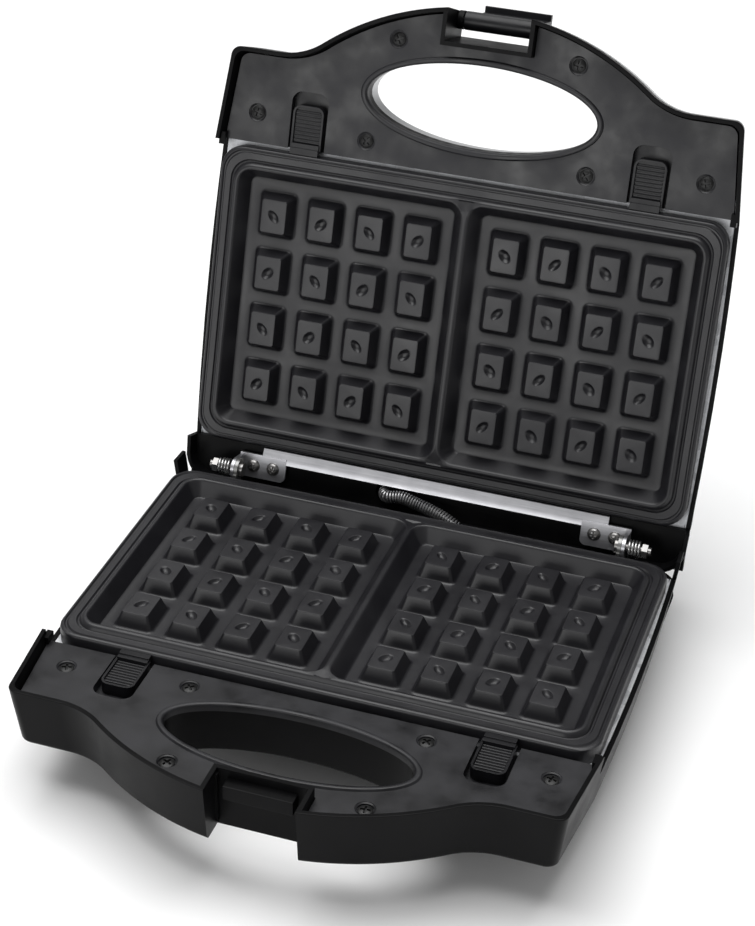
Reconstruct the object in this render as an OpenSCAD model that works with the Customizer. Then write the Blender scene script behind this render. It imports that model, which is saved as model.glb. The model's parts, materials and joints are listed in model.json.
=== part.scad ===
// Two-slice waffle maker, standing on its feet with its lid open.
// Millimetres. X runs along the hinge, the handle side faces -Y, +Z is up.
// Both halves are drawn in a half frame: the parting plane is z = 0, the hinge
// axis runs above y = 0, the handle lies towards -y and the outside is -z.
// as_base() and as_lid() place a half, and the lid is the mirrored one.

/* [Cooking plates] */
// Width of each removable plate, left to right
plate_w = 225; // [215:1:280]
// Length of each removable plate, from the hinge side to the handle side
plate_l = 133; // [122:1:165]
// Corner radius of the plate's flange
plate_r = 10; // [6:1:14]
// Depth of the cell floor below the parting plane
cell_depth = 7.5; // [6.5:0.1:9]
// Thickness of the cast floor and flange
plate_t = 2.2; // [1.8:0.1:2.6]
// Columns of pegs in each cell
peg_cols = 4; // [2:1:5]
// Rows of pegs in each cell
peg_rows = 4; // [2:1:5]
// Gap between neighbouring pegs at the cell floor
peg_gap = 5.6; // [4.5:0.1:7]
// How far each peg wall leans in from the floor to its top
peg_draft = 2.4; // [1.5:0.1:3]
// How far the peg tops stay below the parting plane
peg_top = 1; // [0.6:0.1:2]

/* [Housing] */
// Gap beside the plate where the tray's flange shows
side_gap = 3.1; // [2:0.1:6]
// Wall thickness of the shells
wall = 1.8; // [1.4:0.1:2.4]
// Height of the parting plane above the table
parting_h = 50; // [46:1:60]
// Height of each rubber foot
foot_h = 5; // [3:0.5:7]
// Depth of the handle part of each half
handle_depth = 27; // [25:1:32]
// Depth of the lid's body outside the parting plane
lid_depth = 45; // [42:1:52]
// Shrink of the shell outline over the handle depth, as a scale
shell_taper = 0.97; // [0.955:0.005:0.985]
// Angle of the lid when it is open
open_angle = 106; // [95:1:110]

/* [Handle] */
// Length of the handle part in front of the plates
handle_l = 73.2; // [68:0.2:90]
// How far the square shoulders reach in front of the plates
shoulder_l = 43; // [40:0.5:50]
// Radius of the handle's front arc
handle_r = 118; // [110:1:126]
// Radius of the hollow fillet between shoulder and arc
fillet_r = 31; // [24:1:36]
// Half width of the finger hole at its raised collar
grip_a = 52.8; // [48:0.2:56]
// Half length of the finger hole at its raised collar
grip_b = 20.2; // [17:0.2:21]
// Thickness of the finger hole's collar and sleeve
grip_t = 2.4; // [2:0.1:3]
// Depth of the inner cover below the parting plane
cover_drop = 5.3; // [4.5:0.1:6]
// Thickness of the inner cover
cover_t = 2.4; // [2:0.1:3]
// Width of the latch notch
notch_w = 36; // [34:1:44]
// Depth of the latch notch
notch_l = 15.4; // [14.6:0.2:17]

/* [Release buttons] */
// Distance of each button's centre from the housing's side
button_inset = 42; // [38:0.5:44]
// Width of a release button
button_w = 14; // [12:0.5:16]
// Length of a release button, tongue included
button_l = 22.5; // [20:0.5:24]
// Travel of a release button
button_travel = 4.5; // [3.5:0.1:5]
// Gap between a button and its recess on each side
button_gap = 1.3; // [0.4:0.1:2]

/* [Hinge] */
// Distance from the hinge axis to the plates
plate_rear = 10.5; // [10:0.5:16]
// Depth of the hinge axis below the parting plane
hinge_drop = 4.26; // [4:0.02:5]
// Distance of the hinge ears from the middle
ear_x = 89; // [84:0.5:96]
// Radius of the hinge pins
pin_r = 2; // [1.6:0.1:2.4]
// Radial clearance of a pin in its ear
pin_gap = 0.05; // [0.03:0.01:0.08]
// Sheet thickness of the hinge steel
steel_t = 1.5; // [1.2:0.1:1.8]

/* [Hidden] */

$fn = 32;
black = [0.13, 0.13, 0.14];
cover_black = [0.2, 0.2, 0.21];
nonstick = [0.27, 0.27, 0.28];
galvanised = [0.78, 0.79, 0.8];
bright_steel = [0.86, 0.86, 0.87];
silver = [0.74, 0.75, 0.77];
eps = 0.01;
far = 200;

// Plates
plate_mid = plate_rear + plate_l / 2;
plate_front = plate_rear + plate_l;
rim_top = 0.3;
flange_top = 2;
flange_under = flange_top + plate_t;
pan_inset = 7.2;
cell_inset = 9.2;
floor_inset = 13;
ridge_half = 1.3;
ridge_foot = 5.6;
plate_bottom = cell_depth + plate_t;
floor_w = plate_w / 2 - floor_inset - ridge_foot;
floor_l = plate_l - 2 * floor_inset;
peg_w = (floor_w - (peg_cols + 1) * peg_gap) / peg_cols;
peg_l = (floor_l - (peg_rows + 1) * peg_gap) / peg_rows;

// Housing outline
body_hw = plate_w / 2 + side_gap + wall;
side_bow = 1.9;
rear_base = 14;
rear_lid = 10;
handle_front = plate_front + handle_l;
shoulder_front = plate_front + shoulder_l;
shoulder_hw = body_hw - 5.4;
shoulder_r = 4.5;
rear_r = 12;
arc_mid = handle_front - handle_r;
fillet_mid = shoulder_front + fillet_r;
fillet_x = sqrt(pow(handle_r + fillet_r, 2) - pow(fillet_mid - arc_mid, 2));
notch_back = handle_front - notch_l;
taper_mid = 100;
parting_gap = 0.2;
cover_rear = plate_front + 1.9;
cover_under = cover_drop + cover_t;
grip_mid = plate_front + 31.3;
base_depth = parting_h - foot_h;
body_inset_top = 4;
body_inset_end = 11.5;
body_front = plate_front + 4;
band_depth = 12;
bay_y = plate_rear - 1.2;
bay_floor = 26;
step_z = 20;

// Trays and elements
tray_t = 0.6;
tray_top = plate_bottom - 0.2;
skirt_t = 2;
ledge_t = 1.8;
side_drop = tray_top - 0.2;
lug_in = 1.5;
lug_w = 2.6;
tray_inset = 5;
tray_depth = 20;
element_r = 3.2;
element_z = plate_bottom + element_r + 0.15;
element_hw = plate_w / 2 - 22;
element_hl = plate_l / 2 - 24;
element_bend = 12;
terminal_x = 14;

// Handle fittings
button_x = body_hw - button_inset;
button_rear = plate_front - 1.2;
recess_w = button_w + 2 * button_gap;
recess_l = button_rear + button_l + button_travel + 1.2 - cover_rear;
recess_floor = cover_drop + 4.2;
button_top = cover_drop - 1.2;
button_under = recess_floor - 0.3;
post_l = 3;
slot_w = 7;
slot_start = 6;
spring_r = 2;
spring_z = recess_floor + cover_t + 3.2;
screw_r = 1.5;
screw_head_r = 3;
screw_spots = [[body_hw - 18.4, plate_front + 15], [39.2, plate_front + 55.15],
    [48.6, plate_front + 10.15]];

// Latch, in the lid's half frame
latch_pin_r = 1.5;
latch_barrel_r = 4;
latch_y = handle_front - 7.7;
latch_z = 20;
latch_hw = notch_w / 2 - 3;
latch_reach = 33.5;
latch_t = 3;
lip_t = 2.4;
lip_rise = 4.2;

// Hinge
axis_z = hinge_drop;
tab_inner = ear_x - 20.5;
bar_hw = ear_x - 9;
ear_r = 5;
ear_gap = 0.2;
bracket_x = ear_x - ear_gap - steel_t;
stem_y = -6;
stem_w = 6.5;
spring_l = 7;
hinge_wire = 0.55;
bar_face = 3;
bar_screws = [ear_x - 14.5, ear_x - 5.2];
bar_shelf = body_hw - wall - 1;
shelf_top = bar_face + steel_t + 1.8;

// Feet, cord entry and lamps
foot_x = body_hw - 34;
foot_rear = 8;
foot_front = plate_front - 20;
cord_x = 62;
cord_z = 35.5;
cord_bore = 5;
cord_hole = 3.4;
cord_face = rear_base - 2.5;
lead_pitch = 8;
block_x = 34;
lamp_x = 8;
lamp_r = 2.5;
lamp_d = plate_front - 16;

// Spring-wound guard on the lead that runs from the base to the lid past the hinge
conduit_r = 3;
conduit_end = [22, -3.2];
conduit_x = -22;
conduit_d = -0.6;

// The guarded lead's route, in the base's half frame
conduit_route = concat([for (o = [14, 10, 6]) lid_point(conduit_x, conduit_d, o)],
    [lid_point(-19.5, -1, 2), [-12, 5, -5.6], [-4, 3, -6.2], [4, 1, -7.2], [12, -1.2, -9.2],
        [18, -2.8, -12.4], [conduit_end[0] - 0.8, conduit_end[1], -17],
        [conduit_end[0], conduit_end[1], -23], [conduit_end[0], conduit_end[1], -bay_floor - 5]]);

// Stance: the origin is under the middle of the open waffle maker
lid_reach = latch_z + latch_reach + hinge_drop;
rear_y = -latch_y * cos(open_angle) + lid_reach * sin(open_angle);
front_y = arc_mid + sqrt(pow(handle_r, 2) - pow(notch_w / 2, 2));
hinge_y = (front_y - rear_y) / 2;

module as_base() {
    translate([0, hinge_y, parting_h]) children();
}

module as_lid() {
    translate([0, hinge_y, parting_h - hinge_drop])
        rotate([-open_angle, 0, 0])
            translate([0, 0, hinge_drop])
                mirror([0, 0, 1]) children();
}

// Points of an arc from one angle to another
function arc(cx, cy, r, from, to, steps) =
    [for (i = [0:steps]) let (a = from + (to - from) * i / steps) [cx + r * cos(a), cy + r * sin(a)]];

function flipped(points) = [for (p = points) [p[0], -p[1]]];

function mirrored(points) = [for (i = [len(points) - 1:-1:0]) [-points[i][0], points[i][1]]];

// Point of the open lid, in the base's half frame: x, distance from the hinge and depth
function lid_point(x, d, o) = [x, -d * cos(open_angle) + (o + hinge_drop) * sin(open_angle),
    d * sin(open_angle) + (o + hinge_drop) * cos(open_angle) - hinge_drop];

// Rounded rectangle round the origin
function rounded(w, l, r, steps = 5) = concat(
    arc(w / 2 - r, l / 2 - r, r, 0, 90, steps), arc(-w / 2 + r, l / 2 - r, r, 90, 180, steps),
    arc(-w / 2 + r, -l / 2 + r, r, 180, 270, steps), arc(w / 2 - r, -l / 2 + r, r, 270, 360, steps));

function ellipse_ring(a, b, steps = 48) =
    [for (i = [0:steps - 1]) [a * cos(360 * i / steps), b * sin(360 * i / steps)]];

// Half width of the housing's bowed side at a distance d from the hinge
function side_x(d) = body_hw - side_bow * pow((d - plate_mid) / plate_mid, 2);

// Right half of the housing's outline, from the hinge side to the notch, drawn towards -y
function outline_side(inset, rear) = let (
        rc = rear_r - inset,
        step_d = plate_front / 6,
        edge = shoulder_hw - inset,
        front = shoulder_front - inset,
        tip = fillet_r + inset,
        turn = atan2(fillet_mid - arc_mid, fillet_x),
        open = asin(notch_w / 2 / handle_r)
    ) concat(
        arc(side_x(0) - inset - rc, rear - inset - rc, rc, 90, 0, 5),
        [for (i = [0:6]) [side_x(i * step_d) - inset, -i * step_d]],
        arc(edge - shoulder_r, -front + shoulder_r, shoulder_r, 0, -90, 4),
        flipped(arc(fillet_x, fillet_mid, tip, 270, 180 + turn, 8)),
        flipped(arc(0, arc_mid, handle_r - inset, turn, 90 - open, 12)));

module outline(inset, rear) {
    side = outline_side(inset, rear);
    polygon(concat(side, mirrored(side)));
}

// A slab from depth top to depth bottom below the parting plane
module slab(top, bottom) {
    translate([0, 0, -bottom]) linear_extrude(bottom - top) children();
}

module plate_area(w, l, r, top, bottom, mid = plate_mid) {
    translate([0, -mid, 0]) slab(top, bottom) polygon(rounded(w, l, r));
}

// Drafted outline, from just below the parting plane down to a depth
module drafted(inset, rear, depth) {
    shrink = 1 - (1 - shell_taper) * depth / handle_depth;
    translate([0, -taper_mid, -parting_gap]) mirror([0, 0, 1])
        linear_extrude(depth - parting_gap, scale = shrink)
            translate([0, taper_mid]) outline(inset, rear);
}

// How far the drafted walls have come in at a depth
function draft_at(depth) = (1 - shell_taper) * depth / handle_depth * (handle_front - taper_mid);

// Bowl-shaped body behind the handle, down to its full depth
module bowl(inset, rear, depth) {
    top_w = 2 * (body_hw - body_inset_top - inset);
    end_w = 2 * (body_hw - body_inset_end - inset);
    top_rear = rear - 3.6 - inset;
    end_rear = rear - 9 - inset;
    top_front = body_front - inset;
    end_front = body_front - 9 - inset;
    hull() {
        plate_area(top_w, top_front + top_rear, 12, handle_depth - 4, handle_depth - 3,
            (top_front - top_rear) / 2);
        plate_area(end_w, end_front + end_rear, 12, depth - 4, depth - 3.9, (end_front - end_rear) / 2);
        plate_area(end_w - 8, end_front + end_rear - 8, 10, depth - 0.1, depth,
            (end_front - end_rear) / 2);
    }
}

module grip_hole(top, bottom, a = grip_a, b = grip_b) {
    translate([0, -grip_mid, 0]) slab(top, bottom) polygon(ellipse_ring(a, b));
}

module notch(extra, top, bottom) {
    w = notch_w + 2 * extra;
    translate([-w / 2, -handle_front - 5, -bottom])
        cube([w, handle_front + 5 - notch_back + extra, bottom - top]);
}

// Box given by its ranges along x, by its distances d from the hinge and by its depths
module block(x0, x1, d0, d1, top, bottom) {
    translate([x0, -d1, -bottom]) cube([x1 - x0, d1 - d0, bottom - top]);
}

module at_screws() {
    for (s = [-1, 1], p = screw_spots) translate([s * p[0], -p[1], 0]) children();
}

// The hollow housing of one half with its handle, sleeve, bosses and ledges
module housing(rear, depth) {
    difference() {
        union() {
            drafted(0, rear, handle_depth);
            bowl(0, rear, depth);
        }
        difference() {
            translate([0, 0, eps]) drafted(wall, rear, handle_depth - wall);
            notch(wall, -1, handle_depth + 1);
            grip_hole(cover_under, handle_depth + 1);
            block(-far, far, -rear - 5, bay_y, bay_floor, bay_floor + 2);
        }
        difference() {
            bowl(wall, rear, depth - wall);
            block(-far, far, body_front - 1, handle_front, -1, depth);
            block(-far, far, -rear - 5, bay_y, bay_floor, bay_floor + 2);
        }
        notch(0, -1, handle_depth + 1);
        grip_hole(-1, handle_depth + 1, grip_a - grip_t, grip_b - grip_t);
        side_openings();
    }
    tray_ledge(rear);
    handle_lugs();
    difference() {
        at_screws() translate([0, 0, -handle_depth + wall / 2])
            cylinder(r = 3.4, h = handle_depth - wall / 2 - cover_under);
        at_screws() translate([0, 0, -cover_under - 11]) cylinder(r = screw_r + 0.05, h = 12);
    }
}

// Lowered stretch of the side walls beside the plates, between the hinge and the handle
module side_openings() {
    block(-far, far, bay_y, cover_rear, -1, side_drop);
}

// Small lugs inside the walls' ends, at the rear corners of the handle
module handle_lugs() {
    x = side_x(cover_rear) - lug_in;
    for (s = [0, 1]) mirror([s, 0, 0])
        block(x - lug_w, x, cover_rear - 2.4, cover_rear + 3, flange_top, cover_drop - 0.2);
}

// Ledge inside the walls that carries the tray's flange
module tray_ledge(rear) {
    top = tray_top + tray_t;
    difference() {
        slab(top, top + ledge_t) intersection() {
            outline(wall - 0.5, rear);
            translate([-body_hw, -cover_rear]) square([2 * body_hw, cover_rear - bay_y]);
        }
        plate_area(plate_w - 2 * tray_inset + 2 * tray_t + 1, plate_l - 3, 6, top - 1, top + 3);
    }
}

module hinge_bay_cut() {
    rotate([0, 90, 0]) translate([axis_z, 0, -body_hw - 1]) cylinder(r = 12, h = 2 * body_hw + 2);
}

module base_shell() color(black) as_base() {
    difference() {
        union() {
            housing(rear_base, base_depth);
            translate([cord_x, cord_face, -cord_z]) rotate([90, 0, 0])
                cylinder(r = 9, h = cord_face + 3);
        }
        intersection() {
            hinge_bay_cut();
            translate([-150, -0.5, -40]) cube([300, 40, 60]);
        }
        translate([-150, 1, -step_z]) cube([300, 30, step_z + 5]);
        translate([cord_x, rear_base + 5, -cord_z]) rotate([90, 0, 0]) cylinder(r = cord_bore, h = 25);
        at_bracket_feet() cylinder(r = screw_r + 0.05, h = 20, center = true);
        translate([conduit_end[0], conduit_end[1], -bay_floor - 3])
            cylinder(r = conduit_r + 0.3, h = 5);
        at_feet() translate([0, 0, -1]) cylinder(r = screw_r + 0.05, h = wall + 3);
    }
    latch_catch();
}

// Ledge in the notch that the clasp's lip hooks under
module latch_catch() {
    block(-latch_hw + 1, latch_hw - 1, notch_back - wall / 2, latch_y - latch_t / 2 - 0.9,
        4, latch_reach - latch_z - lip_t - 0.8);
}

module at_feet() {
    for (s = [-1, 1], d = [foot_rear, foot_front]) translate([s * foot_x, -d, -base_depth]) children();
}

module at_bracket_feet() {
    for (s = [-1, 1], x = [6, 15]) translate([s * (bracket_x - x), -0.8, -bay_floor]) children();
}

// Inner cover of a handle, with its collar, screw seats and button recesses
module handle_cover() {
    difference() {
        union() {
            slab(cover_drop, cover_under) intersection() {
                outline(wall + 0.2 + draft_at(cover_under), 0);
                translate([-body_hw, -handle_front - 1])
                    square([2 * body_hw, handle_front + 1 - cover_rear]);
            }
            grip_hole(cover_drop - 1, cover_under);
            at_recesses() slab(cover_drop, recess_floor + cover_t)
                translate([-recess_w / 2 - wall, 0]) square([recess_w + 2 * wall, recess_l + wall]);
        }
        grip_hole(-1, 20, grip_a - grip_t, grip_b - grip_t);
        notch(wall + 0.3, 0, 20);
        at_recesses() {
            slab(0, recess_floor) translate([-recess_w / 2, -5]) square([recess_w, recess_l + 5]);
            slab(0, 30) translate([-slot_w / 2, slot_start])
                square([slot_w, post_l + button_travel + 0.6]);
        }
        at_screws() {
            translate([0, 0, -cover_drop - 1.2]) cylinder(r = screw_head_r + 0.3, h = 3);
            translate([0, 0, -20]) cylinder(r = screw_r + 0.2, h = 20);
        }
        block(-body_hw, body_hw, cover_rear - 30, cover_rear, -10, 30);
    }
    at_recesses() slab(recess_floor + cover_t - eps, spring_z + 3)
        translate([-slot_w / 2, slot_start + post_l + button_travel + 1.4]) square([slot_w, 2]);
}

// Places children at each button recess, with y running from the cover's rear edge to the handle
module at_recesses() {
    for (s = [-1, 1]) translate([s * button_x, -cover_rear, 0]) mirror([0, 1, 0]) children();
}

module base_handle_cover() color(cover_black) as_base() handle_cover();

// Six countersunk cross-head screws of one handle cover
module cover_screws() {
    at_screws() difference() {
        union() {
            translate([0, 0, -cover_drop - 1.15]) cylinder(r = screw_head_r, h = 1);
            translate([0, 0, -cover_drop - 11]) cylinder(r = screw_r, h = 10);
        }
        for (a = [0, 90]) rotate(a) translate([-1.8, -0.35, -cover_drop - 0.8]) cube([3.6, 0.7, 2]);
    }
}

module base_cover_screws() color(black) as_base() cover_screws();

// Pressed tray that reflects the element's heat
module reflector_tray() {
    well_w = plate_w - 2 * tray_inset;
    well_l = plate_l - 2 * tray_inset;
    top = tray_top;
    difference() {
        union() {
            slab(top, top + tray_t) intersection() {
                outline(wall + 0.2 + draft_at(top + tray_t), 0);
                translate([-body_hw, -cover_rear + 0.4])
                    square([2 * body_hw, cover_rear - 0.4 - bay_y]);
            }
            plate_area(well_w + 2 * tray_t, well_l + 2 * tray_t, 7 + tray_t, top + tray_t / 2,
                tray_depth);
        }
        plate_area(well_w, well_l, 7, top - 1, tray_depth - tray_t);
        for (s = [-1, 1]) translate([s * terminal_x, -plate_mid - element_hl, -tray_depth - 1])
            cylinder(r = 2.8, h = 3);
    }
}

module base_reflector_tray() color(galvanised) as_base() reflector_tray();

// Tubular element: a loop with two rounded ends and two terminals
module heating_element() {
    x = element_hw - element_bend;
    y = element_hl - element_bend;
    translate([0, -plate_mid, -element_z]) {
        for (s = [-1, 1]) translate([0, s * element_hl, 0]) rotate([0, 90, 0])
            cylinder(r = element_r, h = 2 * x, center = true);
        for (s = [-1, 1]) translate([s * element_hw, 0, 0]) rotate([90, 0, 0])
            cylinder(r = element_r, h = 2 * y, center = true);
        for (sx = [0, 1], sy = [0, 1]) mirror([sx, 0, 0]) mirror([0, sy, 0]) translate([x, y, 0])
            rotate_extrude(angle = 90) translate([element_bend, 0]) circle(r = element_r);
    }
    for (s = [-1, 1]) translate([s * terminal_x, -plate_mid - element_hl, -tray_depth - 8]) {
        cylinder(r = 2, h = tray_depth + 8 - element_z);
        translate([-3, -0.4, -8]) cube([6, 0.8, 8.5]);
    }
}

module base_heating_element() color(galvanised) as_base() difference() {
    heating_element();
    element_split();
}

// Opens the loop between its two terminals
module element_split() {
    block(-11, 11, plate_mid + element_hl - 6, plate_mid + element_hl + 6, 0, tray_depth - 1);
}

// Saddle clips that hold the element to the tray
module element_clips() {
    for (s = [-1, 1], t = [-1, 1]) translate([s * element_hw, -plate_mid + t * 20, 0]) difference() {
        slab(element_z - element_r + 0.3, tray_depth - tray_t - 0.05)
            translate([-5.5, -4]) square([11, 8]);
        translate([0, 0, -element_z]) rotate([90, 0, 0])
            cylinder(r = element_r + 0.1, h = 20, center = true);
        slab(element_z + 1, tray_depth)
            translate([-element_r - 0.1, -5]) square([2 * element_r + 0.2, 10]);
    }
}

module base_element_clips() color(galvanised) as_base() element_clips();

// Row of drafted ribs, crossed with a second row to give the pegs
module rib(w, length) {
    rotate([90, 0, 0]) linear_extrude(length, center = true)
        polygon([[-w / 2, -cell_depth - 1], [-w / 2, -cell_depth], [-w / 2 + peg_draft, -peg_top],
            [w / 2 - peg_draft, -peg_top], [w / 2, -cell_depth], [w / 2, -cell_depth - 1]]);
}

module pegs() {
    intersection() {
        for (s = [-1, 1], i = [0:peg_cols - 1])
            translate([s * (ridge_foot + peg_gap + peg_w / 2 + i * (peg_w + peg_gap)), -plate_mid, 0])
                rib(peg_w, plate_l);
        for (j = [0:peg_rows - 1])
            translate([0, -plate_mid - floor_l / 2 + peg_gap + peg_l / 2 + j * (peg_l + peg_gap), 0])
                rotate(90) rib(peg_l, plate_w);
    }
}

// One cell's cavity: two drafted channels crossed
module cell() {
    top_x = plate_w / 2 - cell_inset;
    floor_x = plate_w / 2 - floor_inset;
    top_y = plate_l / 2 - cell_inset;
    floor_y = plate_l / 2 - floor_inset;
    slope_x = (top_x - floor_x) / (cell_depth - rim_top);
    slope_y = (top_y - floor_y) / (cell_depth - rim_top);
    slope_m = (ridge_foot - ridge_half) / (cell_depth - rim_top);
    intersection() {
        rotate([90, 0, 0]) linear_extrude(2 * plate_l, center = true)
            polygon([[ridge_foot, -cell_depth], [floor_x, -cell_depth],
                [top_x + slope_x * 2, 2 - rim_top], [ridge_half - slope_m * 2 + 1, 2 - rim_top],
                [ridge_half, -rim_top]]);
        translate([0, -plate_mid, 0]) rotate([90, 0, 90]) linear_extrude(2 * plate_w, center = true)
            polygon([[-floor_y, -cell_depth], [floor_y, -cell_depth],
                [top_y + slope_y * 2, 2 - rim_top], [-top_y - slope_y * 2, 2 - rim_top]]);
    }
}

// Cast waffle plate with two cells and their pegs
module waffle_plate() {
    difference() {
        union() {
            plate_area(plate_w, plate_l, plate_r, flange_top, flange_under);
            difference() {
                plate_area(plate_w, plate_l, plate_r, flange_top, tray_top);
                plate_area(plate_w - 2 * skirt_t, plate_l - 2 * skirt_t, plate_r - skirt_t,
                    flange_top - 1, tray_top + 1);
            }
            plate_area(plate_w - 2 * pan_inset, plate_l - 2 * pan_inset, plate_r - 2, rim_top,
                plate_bottom);
        }
        cell();
        mirror([1, 0, 0]) cell();
    }
    pegs();
}

module lower_plate() color(nonstick) as_base() waffle_plate();

// Bent steel brackets that carry the hinge pins
module hinge_brackets() color(galvanised) as_base() {
    foot_z = -bay_floor;
    difference() {
        for (s = [0, 1]) mirror([s, 0, 0]) {
            translate([bracket_x, 0, -axis_z]) rotate([0, 90, 0]) cylinder(r = ear_r, h = steel_t);
            translate([bracket_x, stem_y, foot_z]) cube([steel_t, stem_w, bay_floor - axis_z]);
            translate([bracket_x - 20, stem_y, foot_z]) cube([20 + steel_t, stem_w + 4, steel_t]);
        }
        for (s = [0, 1]) mirror([s, 0, 0])
            translate([bracket_x - 1, 0, -axis_z]) rotate([0, 90, 0])
                cylinder(r = pin_r, h = steel_t + 2);
        at_bracket_feet() cylinder(r = screw_r + 0.2, h = 20, center = true);
    }
}

module hinge_bracket_screws() color(bright_steel) as_base() at_bracket_feet() {
    translate([0, 0, steel_t + 0.02]) cylinder(r = 2.8, h = 1.8);
    translate([0, 0, -6]) cylinder(r = screw_r, h = 6 + steel_t + 0.1);
}

// Pins riveted into the brackets, each with a head inside and a long shank outside
module hinge_pins() color(galvanised) as_base() for (s = [0, 1]) mirror([s, 0, 0]) {
    translate([bracket_x - 1.6, 0, -axis_z]) rotate([0, 90, 0]) cylinder(r = 3.2, h = 1.55);
    translate([bracket_x - 0.1, 0, -axis_z]) rotate([0, 90, 0])
        cylinder(r = pin_r, h = 2 * steel_t + ear_gap + spring_l + 4);
}

// Round wire wound as an open helix along z
module coil(r, wire, turns, length, sides = 6, per_turn = 12) {
    n = turns * per_turn;
    lead = length - 2 * wire;
    slope = atan2(lead / turns, 2 * PI * r);
    points = [for (i = [0:n], k = [0:sides - 1])
        let (a = 360 * i / per_turn, b = 360 * k / sides, u = wire * cos(b), v = wire * sin(b))
            [(r + u) * cos(a) + v * sin(slope) * sin(a), (r + u) * sin(a) - v * sin(slope) * cos(a),
                wire + lead * i / n + v * cos(slope)]];
    walls = [for (i = [0:n - 1], k = [0:sides - 1]) let (a = i * sides, m = (k + 1) % sides)
        [a + k, a + m, a + sides + m, a + sides + k]];
    polyhedron(points, concat([[for (k = [sides - 1:-1:0]) k]], walls,
        [[for (k = [0:sides - 1]) n * sides + k]]));
}

module hinge_spring(side) color(bright_steel) as_base()
    translate([side * (ear_x + steel_t + 0.15), 0, -axis_z]) rotate([0, side * 90, 0])
        coil(pin_r + 1.4, hinge_wire, 4, spring_l - 0.3);

module hinge_spring_left() hinge_spring(-1);
module hinge_spring_right() hinge_spring(1);

module hinge_pin_nuts() color(bright_steel) as_base() for (s = [0, 1]) mirror([s, 0, 0])
    translate([ear_x + steel_t + spring_l + 0.1, 0, -axis_z]) rotate([0, 90, 0]) difference() {
        cylinder(r = 3.4, h = 2.4, $fn = 6);
        translate([0, 0, -1]) cylinder(r = pin_r, h = 5);
    }

module rubber_feet() color(black) as_base() at_feet() difference() {
    translate([0, 0, -foot_h]) cylinder(r1 = 6.4, r2 = 7.5, h = foot_h);
    translate([0, 0, -foot_h - 1]) cylinder(r = 3.2, h = foot_h - 0.5);
    translate([0, 0, -foot_h - 1]) cylinder(r = screw_r + 0.2, h = foot_h + 2);
}

module foot_screws() color(bright_steel) as_base() at_feet() {
    translate([0, 0, -2.6]) cylinder(r = 2.8, h = 1.05);
    translate([0, 0, -2.6]) cylinder(r = screw_r, h = 9);
}

// Disc thermostat clamped under the lower tray
module thermostat() color(galvanised) as_base() translate([0, -plate_mid, -tray_depth]) {
    translate([0, 0, -9]) cylinder(r = 8, h = 8.95);
    for (s = [-1, 1]) translate([s * 6, 0, -15]) translate([-0.4, -3, 0]) cube([0.8, 6, 7]);
}

module thermal_fuse() color(galvanised) as_base()
    translate([36, -plate_mid, -tray_depth - 2.2]) rotate([0, 90, 0]) {
        cylinder(r = 2, h = 12, center = true);
        cylinder(r = 0.6, h = 30, center = true);
    }

// Ceramic block where the supply leads meet the elements' leads
module terminal_block() color("white") as_base() difference() {
    block(block_x - 14, block_x + 14, 24, 38, base_depth - wall - 13, base_depth - wall);
    for (i = [-1:1]) translate([block_x + i * lead_pitch, -31, -base_depth + wall + 6]) {
        rotate([90, 0, 0]) cylinder(r = 2, h = 20, center = true);
        cylinder(r = 1.6, h = 10);
    }
}

// Rubber bush in the rear wall that the supply lead passes through
module cord_bush() color(black) as_base() translate([cord_x, 0, -cord_z]) rotate([-90, 0, 0])
    difference() {
        union() {
            translate([0, 0, -4]) cylinder(r = cord_bore - 0.05, h = cord_face + 5);
            translate([0, 0, cord_face]) cylinder(r = 7.5, h = 2.4);
            translate([0, 0, -5]) cylinder(r = 6.5, h = 2);
        }
        translate([0, 0, -10]) cylinder(r = cord_hole, h = 40);
    }

// Round tube swept along a route that never runs along the direction aside
module tube(route, r, sides = 8, aside = [1, 1, 1]) {
    n = len(route) - 1;
    rings = [for (i = [0:n]) let (
            t = route[min(i + 1, n)] - route[max(i - 1, 0)],
            w = t / norm(t),
            u = cross(w, aside),
            p = u / norm(u),
            q = cross(w, p)
        ) for (k = [0:sides - 1]) route[i] + r * cos(360 * k / sides) * p + r * sin(360 * k / sides) * q];
    walls = [for (i = [0:n - 1], k = [0:sides - 1]) let (a = i * sides, m = (k + 1) % sides)
        [a + m, a + k, a + sides + k, a + sides + m]];
    polyhedron(rings, concat([[for (k = [0:sides - 1]) k]], walls,
        [[for (k = [sides - 1:-1:0]) n * sides + k]]));
}

// Three insulated leads from a row at the block to a stack in front of the bush
function lead_route(i) = [for (t = [0:0.125:1])
    [block_x + i * lead_pitch * (1 - t * t) + (cord_x - block_x) * t * t, -23.6 + 17 * t,
        -base_depth + wall + 6 + 2 * sin(180 * t) + (2.5 + 2.9 * i) * t]];

module supply_leads() color("white") as_base()
    for (i = [-1:1]) tube(lead_route(i), 1.2, 6, [0, 0, 1]);

// Sliding button with a grip, a locking tongue over the plate's edge and a post for its spring
module release_button() {
    mirror([0, 1, 0]) {
        difference() {
            union() {
                slab(button_top, button_under) translate([-button_w / 2, button_rear + 3.6])
                    square([button_w, button_l - 3.6]);
                slab(0.3, button_under) translate([-button_w / 2 + 0.6, cover_rear + 0.3])
                    square([button_w - 1.2, 2.4]);
                slab(0.3, flange_top - 0.2) translate([-button_w / 2 + 0.6, button_rear])
                    square([button_w - 1.2, cover_rear + 1 - button_rear]);
                slab(button_under - 0.5, spring_z + 2.4)
                    translate([-slot_w / 2 + 0.3, cover_rear + slot_start + 0.3])
                        square([slot_w - 0.6, post_l]);
            }
            for (i = [0:5]) slab(button_top - 1, button_top + 0.7)
                translate([-button_w / 2 + 1.6, button_rear + 6.4 + i * 2.5])
                    square([button_w - 3.2, 1.3]);
        }
    }
}

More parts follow.
